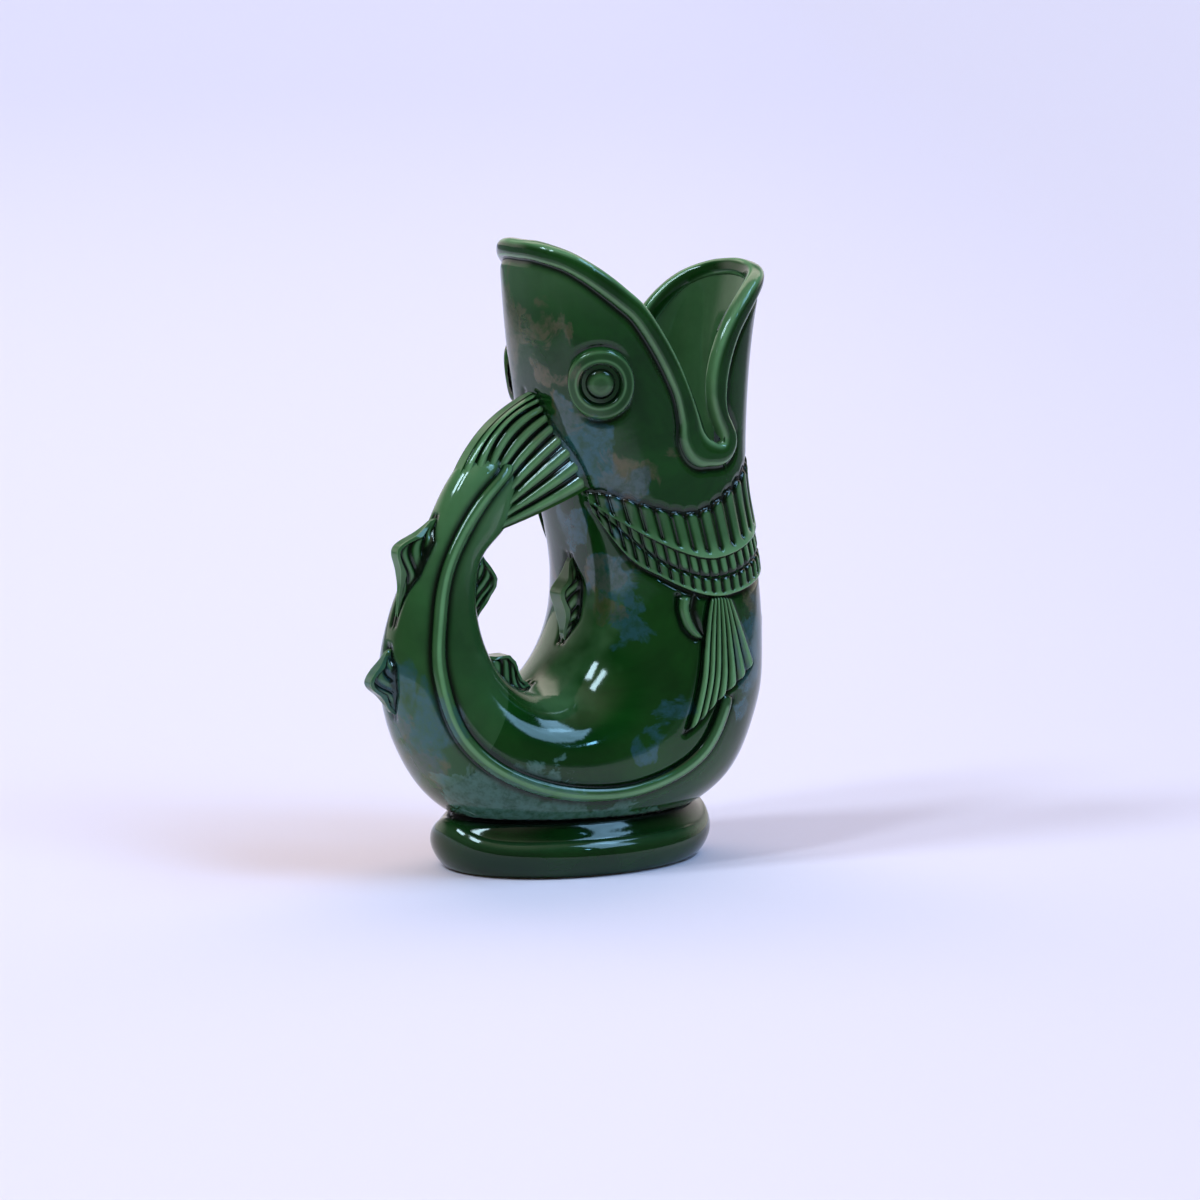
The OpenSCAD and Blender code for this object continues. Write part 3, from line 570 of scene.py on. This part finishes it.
def fin(node, angle, thick, height, rays, lean, outline):
    """A fin from an outline of stations and shares of its height."""
    cols, rows = rays * 16 + 1, 64
    s, t = np.meshgrid(np.linspace(0, 1, rows), np.linspace(0, 1, cols), indexing="ij")
    spot = smooth(outline, t * (len(outline) - 1))
    u, tall = spot[..., 0], np.clip(spot[..., 1], 0, 1)
    half = thick / 2 * (0.35 + 0.65 * step(0.05, 0.6, tall))
    root_y = half + 2.2 * np.minimum(1, tall * 2)
    spread = np.degrees(np.arcsin(np.minimum(0.9, root_y / smooth(fine, u * FINE)[..., 4])))
    spread = -spread if angle > 90 else spread
    rise = tall * height - 1.5 * (1 - np.minimum(1, tall * 8))
    edge = raised(u, np.full_like(u, float(angle)), rise)
    low = raised(u, angle + spread, -1.0 + 0 * u)
    edge[..., 1] = -half
    out = 1 - (1 - s) ** 1.6
    p = low * (1 - out[..., None]) + edge * out[..., None]
    # The side is sunk inside a flat border, with rays leaning across it
    border = np.minimum(2.4 / np.maximum(tall * height, 0.1), 0.50)
    from_edge, from_end = 1 - s, np.minimum(t, 1 - t) * rays
    sunk = step(border, border + 0.08, from_edge) * step(0.05, 0.3, from_end) \
        * step(0.12, 0.4, tall)
    bar = round_bar(np.clip(across(t + lean * s, rays) * 1.15, -1, 1))
    p[..., 1] += sunk * (0.7 + 0.8 * (1 - bar)) * step(0.02, 0.15, s) + 0.6 * step(0.93, 1, s) ** 2
    # Dark marks: pooled glaze and painted shade in the sunk side, under the border and at the root.
    # Light marks: thin glaze and painted highlights on the border, the rays' crests and the edge
    pool_and_shade = np.maximum(sunk * (1 - step(0.45, 0.93, bar)), step(0.20, 0.08, s))
    pool_and_shade = np.maximum(pool_and_shade, 0.85 * sunk * (1 - step(border + 0.10, border + 0.2, from_edge)))
    light = (1 - sunk) * step(0.12, 0.3, s) * 0.30 + sunk * step(0.80, 1, bar) * 0.55 \
        + np.exp(-((s - 0.97) / 0.02) ** 2) * 0.3
    # The other side is this one's mirror image, joined to it over the flat edge
    cap = np.stack([p[-1] * [1, k, 1] for k in np.linspace(1, -1, 7)[1:-1]])
    whole = np.concatenate([p, cap, p[::-1] * [1, -1, 1]])
    marks = [np.concatenate([m, np.repeat(m[-1:], len(cap), 0), m[::-1]]).ravel()
             for m in (pool_and_shade, light)]
    normals = slopes(whole)
    outside = normals[rows // 2, :, 1].sum() < 0
    piece(node, whole, *turned(quads(len(whole), cols), normals, outside), *marks)
    crease(raised(u[0], angle + spread[0] * 1.02, 0 * u[0]), 1.1)


fin("neck_fin", 0, 8, 7, 6, -0.30,
    [[5.6, 0], [6.05, 0.45], [6.42, 1], [6.9, 0.6], [7.35, 0.25], [7.75, 0]])
fin("saddle_fin", 0, 8, 9, 5, -0.42,
    [[9.7, 0], [10.6, 0.5], [11.4, 0.9], [12.25, 1], [13.1, 0]])
fin("inner_tail_fin", 0, 8, 9, 5, -0.60,
    [[13.8, 0], [14.35, 0.25], [14.9, 0.72], [15.45, 1], [16.1, 0]])
fin("upper_tail_fin", 180, 5, 10, 5, 0.52,
    [[17.3, 0], [16.8, 0.42], [16.32, 1], [15.95, 0.5], [15.55, 0.15], [15, 0]])
fin("lower_tail_fin", 180, 5, 8.5, 4, 0.45,
    [[14.6, 0], [14.35, 0.4], [14.08, 1], [13.85, 0.45], [13.55, 0]])
fin("belly_fin", 180, 5, 9.45, 5, 0.25,
    [[7.78, 0], [7.6, 0.75], [7.2, 1], [6.8, 1], [6.35, 0.75], [6.1, 0]])

# ---- Tail fan
# The spread tail: nine thick rays from the tip of the tail to the back of the
# head, bowed at the outer edge. It is glazed earthenware, luted to the head, and
# it carries the load when the jug is lifted by its tail.

# A row for each guide: its start, its end's height and half thickness, its bow
FAN = np.array([
    [-0.215, 0.516, 0.588, 0.233, -0.1], [-0.200, 0.536, 0.623, 0.220, -0.1],
    [-0.195, 0.553, 0.654, 0.188, 0], [-0.195, 0.577, 0.681, 0.135, 0.15],
    [-0.205, 0.600, 0.706, 0.097, 0.4], [-0.235, 0.602, 0.726, 0.071, 0.75],
    [-0.305, 0.548, 0.742, 0.051, 1]])


def station(share):
    """The head's station at a share of the body's height."""
    return (1.020 - share) / 0.105


def head_back_x(z, y):
    """Where the back of the head lies at a height, that far from the middle line."""
    s = smooth(fine, station((z - BELLY_Z) / BODY_H) * FINE)
    return (s[..., 0] + s[..., 2]) / 2 + (s[..., 0] - s[..., 2]) / 2 \
        * (1 - np.minimum(1, np.abs(y) / s[..., 4]) ** s[..., 5]) ** (1 / s[..., 5])


FAN_RAYS, FAN_ROOT, FAN_BOW = 9, 7, 8     # rays, half thickness at the tail, bow


def fan_sheet(t, s):
    """Places on the fan's sheet, seen from the side, and half its thickness there."""
    guide = smooth(FAN, t * 6)
    start = guide[..., :2] * [LENGTH, BODY_H] + [0, BELLY_Z]
    end_y, end_z = guide[..., 3] * WIDTH, BELLY_Z + guide[..., 2] * BODY_H
    end = np.stack([head_back_x(end_z, end_y) + 1.2, end_z], -1)
    run = end - start
    bow = np.stack([-run[..., 1], run[..., 0]], -1) / np.linalg.norm(run, axis=-1, keepdims=True) \
        * (FAN_BOW * guide[..., 4] * 4 * s * (1 - s))[..., None]
    sheet = start * (1 - s)[..., None] + end * s[..., None] + bow
    return sheet, FAN_ROOT * (1 - s) + end_y * s, end, end_y


def lengths(points):
    """How far along a line each of its points lies."""
    return np.concatenate([[0], np.cumsum(np.linalg.norm(np.diff(points, axis=0), axis=1))])


# Rays at even steps across the middle of the fan
k = np.linspace(0, 1, 601)
way = lengths(fan_sheet(k, 0 * k + 0.5)[0])
t, s = np.meshgrid(np.linspace(0, 1, FAN_RAYS * 16 + 1), np.linspace(0, 1, 60), indexing="ij")
p, y, end, end_y = fan_sheet(np.interp(t, way / way[-1], k), s)
y = y * np.sqrt(1 - 0.8 * np.clip((t - 0.78) / 0.22, 0, 1) ** 2)
bar = round_bar(np.clip(1.25 * across(t, FAN_RAYS), -1, 1))
ends = step(0, 0.3, t * FAN_RAYS) * step(0, 0.2, (1 - t) * FAN_RAYS)
tip = np.sqrt(np.clip((1 - s) / 0.05, 0, 1))
y = y - 2.1 * (1 - bar * tip) * ends * step(0, 0.3, s)
near_side = np.stack([p[..., 0], -y, p[..., 1]], -1)
# The two ribbed faces, joined over the outer and the inner edge
caps = np.linspace(1, -1, 9)[1:-1]
outer = np.stack([near_side[-1] * [1, k, 1] for k in caps])
inner = np.stack([near_side[0] * [1, k, 1] for k in caps[::-1]])
whole = np.concatenate([near_side, outer, near_side[::-1] * [1, -1, 1], inner])
# Dark marks: pooled glaze and painted shade between the rays. Light marks: thin glaze and painted
# highlight lines on their crests and edges
pool_and_shade = (1 - step(0.3, 0.82, bar * tip + (1 - ends))) * step(0.05, 0.35, s)
light = step(0.45, 0.95, bar) * 0.62 + step(0.965, 1, bar) * 0.3
flat = np.zeros(outer.shape[:2])
normals = slopes(whole)
outside = normals[40, :, 1].sum() < 0
piece("tail_fan", whole, *turned(quads(len(whole), s.shape[1], True), normals, outside),
      np.concatenate([pool_and_shade, flat, pool_and_shade[::-1], flat]).ravel(),
      np.concatenate([light, flat + 0.5, light[::-1], flat]).ravel())
# Painted contact shadow on the head along the fan's end
crease(np.stack([end[::4, -1, 0], -end_y[::4, -1], end[::4, -1, 1]], -1), 1.2)

# ---- Lip
# Thick rolled lip round the whole mouth, thrown out on both faces of the wall and
# drawn down to the corners. It is glazed earthenware, cast with the head and
# fettled by hand, and the glaze wears thin along its crests, where highlights are
# painted as well; shade is painted under the roll.
LIP_W, LIP_T = 7.5, 7.1
# Angle, share of the height and share of the lip's width, from the back of the
# mouth past its right corner to the front
RIM = np.array([
    [0, 0.993, 1], [15, 0.993, 1], [28, 0.988, 1], [40, 0.977, 1], [50, 0.958, 1.05],
    [58, 0.937, 1.1], [66, 0.912, 1.1], [73, 0.889, 1.1], [80, 0.856, 1.1], [87, 0.819, 1.1],
    [93, 0.783, 1.1], [98, 0.745, 1.1], [102.5, 0.704, 1.35], [105, 0.680, 1.7],
    [108, 0.666, 1.8], [112, 0.657, 1.5], [115.5, 0.652, 1.15], [117.5, 0.656, 1.1],
    [116.5, 0.670, 0.95], [113.5, 0.690, 0.9], [111, 0.714, 1], [110, 0.738, 1.1],
    [110.5, 0.768, 1.15], [113, 0.804, 1.15], [118, 0.846, 1.1], [124, 0.879, 1.1],
    [131.5, 0.906, 1.05], [140, 0.923, 1], [153, 0.935, 1], [167, 0.940, 1], [180, 0.942, 1]])
ONCE_ROUND = [360, 0, 0]
back_side = RIM[-2:0:-1] * [-1, 1, 1] + ONCE_ROUND
loop = np.concatenate([back_side[-1:] - ONCE_ROUND, RIM, back_side, RIM[:2] + ONCE_ROUND])
rim = smooth(loop, np.linspace(1, len(loop) - 2, 6001)[:-1])


def rim_middle(rim):
    """The middle of the wall along the rim."""
    return skin(station(rim[:, 1]), rim[:, 0], WALL / 2)


def even(rim, count, soft):
    """The rim at even steps along its length, with its small waves smoothed out."""
    at = rim_middle(rim)
    way = lengths(np.concatenate([at, at[:1]]))
    wide = np.concatenate([rim, rim[:1] + ONCE_ROUND])
    k = np.linspace(0, way[-1], count + 1)[:-1]
    out = np.stack([np.interp(k, way, c) for c in wide.T], 1)
    reach = int(3 * soft * count / way[-1])
    bell = np.exp(-(np.arange(-reach, reach + 1) * way[-1] / count / soft) ** 2 / 2)
    round_off = np.concatenate([out[-reach:] - ONCE_ROUND, out, out[:reach] + ONCE_ROUND])
    return np.stack([np.convolve(c, bell / bell.sum(), "valid") for c in round_off.T], 1)


rim = even(rim, 1200, 0.8)
middle = rim_middle(rim)
n = outward(station(rim[:, 1]), rim[:, 0])
away = unit(np.cross(np.roll(middle, -1, 0) - np.roll(middle, 1, 0), n))
half = LIP_W * rim[:, 2] / 2
a = np.linspace(0, TURN, 33)[:-1]
down, out = [np.sign(k) * np.abs(k) ** 0.8 for k in (np.cos(a), np.sin(a))]
p = (middle[:, None] + away[:, None] * (half[:, None] * (1 + down))[..., None]
     + n[:, None] * (LIP_T / 2 * out)[None, :, None])
p[..., 2] = np.minimum(p[..., 2], HEIGHT - 0.05)
normals = slopes(np.concatenate([p[-1:], p, p[:1]]), True)[1:-1]
outside = (normals * (p - p.mean(1, keepdims=True))).sum() > 0
# Light marks: thin glaze and painted highlights along the roll's upper and lower crests. Dark mark:
# painted shade under the roll
crests = (np.exp(-((down + 0.82) / 0.22) ** 2) + np.exp(-((down - 0.68) / 0.15) ** 2)) * 0.80
piece("lip_roll", p, *turned(quads(len(p), len(a), True, True), normals, outside),
      np.tile(step(0.86, 0.99, down), len(p)), np.tile(crests, len(p)))
# Painted shade on the head under the lip
under_lip = (middle + away * (2.12 * half)[:, None] + n * 2.2)[rim[:, 0] < 182]
gaps = under_lip[1:] - under_lip[:-1]
crease(np.concatenate([under_lip[:-1] + gaps * k for k in np.linspace(0, 1, 9)[:-1]]))

# ---- Foot
# Oval foot with a bulging side, hollow underneath. It is glazed earthenware, luted
# under the belly, and the glaze has filled the joint.
FOOT_X, FOOT_L, FOOT_W, TOE_LIFT, RECESS_Z = 1.5, 119, 81, 6, 4.7
# From underneath round the side to the top: how far in from the edge, how much
# more at the toe and heel, the height, and the lift of the toe
SIDE = [[10.5, 1, 0.9, 0], [5.4, 1, 0.5, 0], [3.6, 1.0, 0.4, 0], [1.8, 0.9, 1.8, 0.02],
        [0.5, 0.6, 4.8, 0.15], [0.0, 0.32, 8.2, 0.4], [0.8, 0.12, 11.4, 0.75],
        [2.6, 0.03, 13.8, 0.95], [4.9, 0, 15.0, 1.0], [7.6, 0, 15.4, 0.85], [10.0, 0, 16.4, 0.5],
        [13.0, 0, 17.8, 0.2], [18, 0, 17, 0.05], [28, 0, 12, 0]]
s, a = np.meshgrid(np.linspace(0, 1, 120), np.linspace(0, TURN, 241)[:-1], indexing="ij")
row = smooth(SIDE, s * (len(SIDE) - 1))
p = np.stack([FOOT_X + (FOOT_L / 2 - row[..., 0] - row[..., 1] * 4) * np.cos(a),
              (FOOT_W / 2 - row[..., 0]) * np.sin(a),
              row[..., 2] + row[..., 3] * TOE_LIFT * np.cos(a) ** 12], -1)


def nearest(places):
    """A tree that finds the nearest of some places."""
    tree = KDTree(len(places))
    for i, spot in enumerate(places):
        tree.insert(spot, i)
    tree.balance()
    return tree


# The foot's top is filled up to the belly's underside
u, angle = np.meshgrid(np.linspace(7, 14.5, 300), np.linspace(110, 250, 281), indexing="ij")
under = skin(u, angle).reshape(-1, 3)
under = under[(under[:, 2] < 34) & (outward(u, angle).reshape(-1, 3)[:, 2] < -0.05)]
plan = nearest(under * [1, 1, 0])
seam_shade = np.zeros(s.shape)
# Painted shade on the foot's top where it lies under the belly, and a groove with painted shade on
# the belly along the contact
for i, j in np.argwhere((s > 0.54) & (s < 0.93)):
    _, k, gap = plan.find((p[i, j, 0], p[i, j, 1], 0))
    if gap < 1.0:
        top = min(under[k, 2] + 0.8, 21)
        p[i, j, 2] += max(0, top - p[i, j, 2]) * step(0.56, 0.70, s[i, j])
        seam_shade[i, j] = math.exp(-(max(0, under[k, 2] - p[i, j, 2]) / 5.0) ** 2)
        if abs(under[k, 2] - p[i, j, 2]) < 0.5:
            creases.append((under[k], 1.3))
# Underneath it is closed by a shallow recess inside the bare ring
recess = [(p[0] - [FOOT_X, 0, 0]) * [k, k, 0] + [FOOT_X, 0, RECESS_Z] for k in (0.01, 0.5, 0.97)]
p = np.concatenate([np.stack(recess), p])
seam_shade, s = [np.concatenate([np.zeros((len(recess), m.shape[1])), m]) for m in (seam_shade, s)]
normals = slopes(p, True)
outside = (normals[53] * p[53] * [1, 1, 0]).sum() > 0
# Dark marks: painted shade under the belly and underneath the foot, and the whole foot at least
# 0.45 dark. Light mark: a painted highlight band round the shoulder
pool_and_shade = np.maximum(np.maximum(seam_shade, step(0.1, 0.04, s)), 0.45)
piece("foot", p, *turned(quads(*s.shape, False, True), normals, outside),
      pool_and_shade.ravel(), (np.exp(-((s - 0.5) / 0.05) ** 2) * 0.2).ravel())

# ---- Shells
# The slip-cast earthenware body in three lengths that meet without a seam: the
# head, open at the mouth, the belly, and the tail, closed at its tip. The glaze
# covers both faces and pools in every groove, and shade is painted into the grooves
# and along the contacts with other pieces.
GROOVE_DEPTH, GROOVE_WIDTH = 0.75, 1.5
tree = nearest([spot for spot, _ in creases])


def grooved(u, angle):
    """The outer face with its grooves, and the pooled glaze and painted shade in them."""
    p = skin(u, angle)
    pool_and_shade = np.empty(p.shape[:-1])
    for i in np.ndindex(pool_and_shade.shape):
        _, k, gap = tree.find(p[i])
        pool_and_shade[i] = creases[k][1] * math.exp(-(gap / GROOVE_WIDTH) ** 2)
    return p - outward(u, angle) * (GROOVE_DEPTH * pool_and_shade)[..., None], pool_and_shade


def shell(node, u, angle, inner_u):
    """A length of the body, from the row after its first to the row before its last."""
    p, pool_and_shade = grooved(u, angle + 0 * u)
    n = slopes(p, True)[1:-1]
    p, pool_and_shade = p[1:-1], pool_and_shade[1:-1]
    inner = skin(inner_u, angle + 0 * inner_u, WALL)
    whole = np.concatenate([p, inner[::-1]])
    inside = np.zeros(inner.shape[:2])
    # Light marks: painted light on the top of the head, above 205 mm, and on the whole inner face
    piece(node, whole, quads(*whole.shape[:2], True, True),
          np.concatenate([n, -slopes(inner, True)[::-1]]),
          np.concatenate([pool_and_shade, inside]).ravel(),
          np.concatenate([0.20 * step(205, 234, p[..., 2]), inside + 0.33]).ravel())


HEAD_END, BELLY_END, TAIL_END = 5.5, 12.5, 20       # stations where the lengths meet
CHIN, HOLLOW_END = 4.15, 18.5
SIDES, ROWS = ((720, 360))
angle = np.linspace(0, 360, SIDES + 1)[:-1]
half_rim = rim[rim[:, 0] <= 180]
column = np.maximum.accumulate(half_rim[:, 0] + 0.0002 * np.arange(len(half_rim)))
rim_at = np.interp(np.minimum(angle, 360 - angle), column, half_rim[:, 1])
top_u = station(rim_at) + 0.06        # the edge lies inside the lip
h = np.linspace(-1 / ROWS, 1 + 1 / ROWS, ROWS + 3)[:, None]
u = np.where(h < 0.6, top_u + (CHIN - top_u) * h / 0.6, CHIN + (HEAD_END - CHIN) * (h - 0.6) / 0.4)
shell("head_shell", u, angle, top_u + (HEAD_END - top_u) * np.linspace(0, 1, 90)[:, None])
row = (BELLY_END - HEAD_END) / 420
u = np.linspace(HEAD_END - row, BELLY_END + row, 423)[:, None] + 0 * angle
shell("belly_shell", u, angle, np.linspace(HEAD_END, BELLY_END, 120)[:, None] + 0 * angle)

# The tail, with a domed tip
angle = angle[::2]
row = (TAIL_END - BELLY_END) / 300
u = np.linspace(BELLY_END - row, TAIL_END, 302)[:, None] + 0 * angle
p, pool_and_shade = grooved(u, angle + 0 * u)
middle = p[-1].mean(0)
forward = unit(skin(TAIL_END, 90) - skin(TAIL_END - 0.1, 90))
tips = np.stack([middle + (p[-1] - middle) * math.cos(k) + forward * 1.2 * math.sin(k)
                 for k in np.linspace(0.1, 1.5, 7)])
p = np.concatenate([p, tips])
pool_and_shade = np.concatenate([pool_and_shade, np.zeros(tips.shape[:2])])
u = np.linspace(BELLY_END, HOLLOW_END, 60)[:, None] + 0 * angle
inner = skin(u, angle + 0 * u, WALL)
whole = np.concatenate([inner[::-1], p[1:]])
towards_tip = np.arange(len(whole)) / len(whole)
# Light mark: painted light, stronger towards the tail's tip where light falls on its top
piece("tail_handle", whole, quads(*whole.shape[:2], False, True),
      np.concatenate([-slopes(inner, True)[::-1], slopes(p, True)[1:]]),
      np.concatenate([np.zeros(inner.shape[:2]), pool_and_shade[1:]]).ravel(),
      np.repeat(0.12 + 0.40 * step(0.4, 0.85, towards_tip), whole.shape[1]))

# ---- Foot ring
# The ring under the foot that the jug stands on: bare earthenware, part of the
# foot, wiped clean of glaze so that it doesn't stick to the kiln shelf. The CAD
# node keeps its shape.
clay = begin(bpy.data.materials.new("bare_clay"), "Object")
grain = noise(900, 4, 0.7)
colour = mixed(ranged(grain, 0.35, 0.7), (0.55, 0.42, 0.28, 1), (0.68, 0.56, 0.42, 1))
colour = mixed(ranged(noise(60, 3), 0.55, 0.75), colour, (0.42, 0.33, 0.24, 1))
bump = add("Bump", {"Strength": 0.4, "Distance": 0.0002, "Height": grain})
shader = add("BsdfPrincipled", {"Base Color": colour, "Roughness": 0.85, "Normal": bump.outputs[0]})
add("OutputMaterial", {"Surface": shader.outputs[0]})
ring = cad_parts["foot_ring"]
ring.data.materials.clear()
ring.data.materials.append(clay)

# ---- Stage
# The studio: a flat sheet of pale lavender paper on a darker floor, in a dim room
# whose windows and white boards light the jug and show in its glaze.
FLOOR = 30              # metres from the middle to each side
floor_mesh = bpy.data.meshes.new("floor")
corners = [(-FLOOR, -FLOOR, 0), (FLOOR, -FLOOR, 0), (FLOOR, FLOOR, 0), (-FLOOR, FLOOR, 0)]
floor_mesh.from_pydata(corners, [], [(0, 1, 2, 3)])
floor = bpy.data.objects.new("floor", floor_mesh)
bpy.context.scene.collection.objects.link(floor)
paper = begin(bpy.data.materials.new("paper"), "Object")
away = vectors("DOT_PRODUCT", place, (0.53, 0.85, 0), "Value")
aside = vectors("DOT_PRODUCT", place, (0.85, -0.53, 0), "Value")
# Painted shading: the paper is lighter near the jug and darker away from the camera and to its
# right
colour = mixed(ranged(away, 0.6, 6.0), (0.890, 0.780, 0.800, 1), (0.770, 0.685, 0.785, 1))
colour = mixed(ranged(aside, -0.05, 0.60, 0.0, 0.8), colour, (0.735, 0.655, 0.680, 1))
beyond = maths("MULTIPLY_ADD", away, -0.18, maths("ABSOLUTE", aside))
beyond = maths("MAXIMUM", ranged(beyond, 0.55, 0.85), ranged(away, -0.55, -0.85))
colour = mixed(beyond, colour, (0.220, 0.200, 0.210, 1))
shader = add("BsdfPrincipled", {"Base Color": colour, "Roughness": 0.9, "Specular IOR Level": 0.1})
add("OutputMaterial", {"Surface": shader.outputs[0]})
floor_mesh.materials.append(paper)

bpy.context.scene.world = begin(bpy.data.worlds.new("room"), "Generated")


def facing(azimuth, elevation):
    """The direction from the jug to a place in the room."""
    a, e = math.radians(azimuth), math.radians(elevation)
    return Vector((math.sin(a) * math.cos(e), -math.cos(a) * math.cos(e), math.sin(e)))


def along(direction):
    """How nearly the room lies that way: 1 there, 0 at right angles."""
    return vectors("DOT_PRODUCT", place, tuple(direction), "Value")


def window(azimuth, elevation, half_width, half_height, colour, soft=0.02, cloudy=0.0):
    """A lit rectangle in the room, seen from the jug; sizes in degrees."""
    middle = facing(azimuth, elevation)
    right = facing(azimuth + 90, 0)
    share = ranged(along(middle), 0.0, 0.1)
    for axis, half in ((right, half_width), (middle.cross(right), half_height)):
        reach = math.sin(math.radians(half))
        near_axis = ranged(maths("ABSOLUTE", along(axis)), reach + soft, reach - soft)
        share = maths("MULTIPLY", share, near_axis)
    if cloudy:
        share = maths("MULTIPLY", share, ranged(noise(5, 4, 0.6, 0.6), 0.35, 0.65, 1 - cloudy, 1.0))
    return scaled(colour, share)


low = maths("MULTIPLY", ranged(along(facing(155, 0)), 0.15, 0.65, 0.10, 1.0),
            ranged(along((0, 0, 1)), 0.60, 0.25))
ceiling = ranged(along((0, 0, 1)), 0.75, 1.0)
light = vectors("ADD", scaled((1.02, 0.94, 0.95), low), scaled((0.40, 0.34, 0.33), ceiling))
for pane in ((-99, 47, 5.5, 7, (15, 19, 25)),
             (-76, 51, 3, 8, (15, 19, 25)),
             (-68, 60, 26, 16, (0.45, 0.40, 0.34), 0.25),
             (34, 46, 10, 13, (3.2, 5.6, 9.6), 0.02, 0.3),
             (62, 57, 13, 6, (3.2, 5.6, 9.6), 0.02, 0.3),
             (14, 34, 1.0, 1.8, (8, 19, 34), 0.01),
             (150, 52, 32, 13, (2.5, 2.1, 2.0), 0.1)):
    light = vectors("ADD", light, window(*pane))
room = add("Background", {"Color": light, "Strength": 1.0})
add("OutputWorld", {"Surface": room.outputs[0]})

# The camera, at the photograph's angle and about 2 m away
camera = bpy.data.objects.new("camera", bpy.data.cameras.new("camera"))
camera.data.lens, camera.data.sensor_width = 160, 36
camera.data.clip_start, camera.data.clip_end = 0.05, 200
camera.data.shift_x = 0.0233
back = Vector((-0.5241, -0.8387, 0.1478)).normalized()
camera.location = Vector((0.002, 0, 0.1005)) + back * 2.043
camera.rotation_euler = back.to_track_quat("Z", "Y").to_euler()
bpy.context.scene.collection.objects.link(camera)
bpy.context.scene.camera = camera
bpy.context.scene.view_settings.view_transform = "Standard"
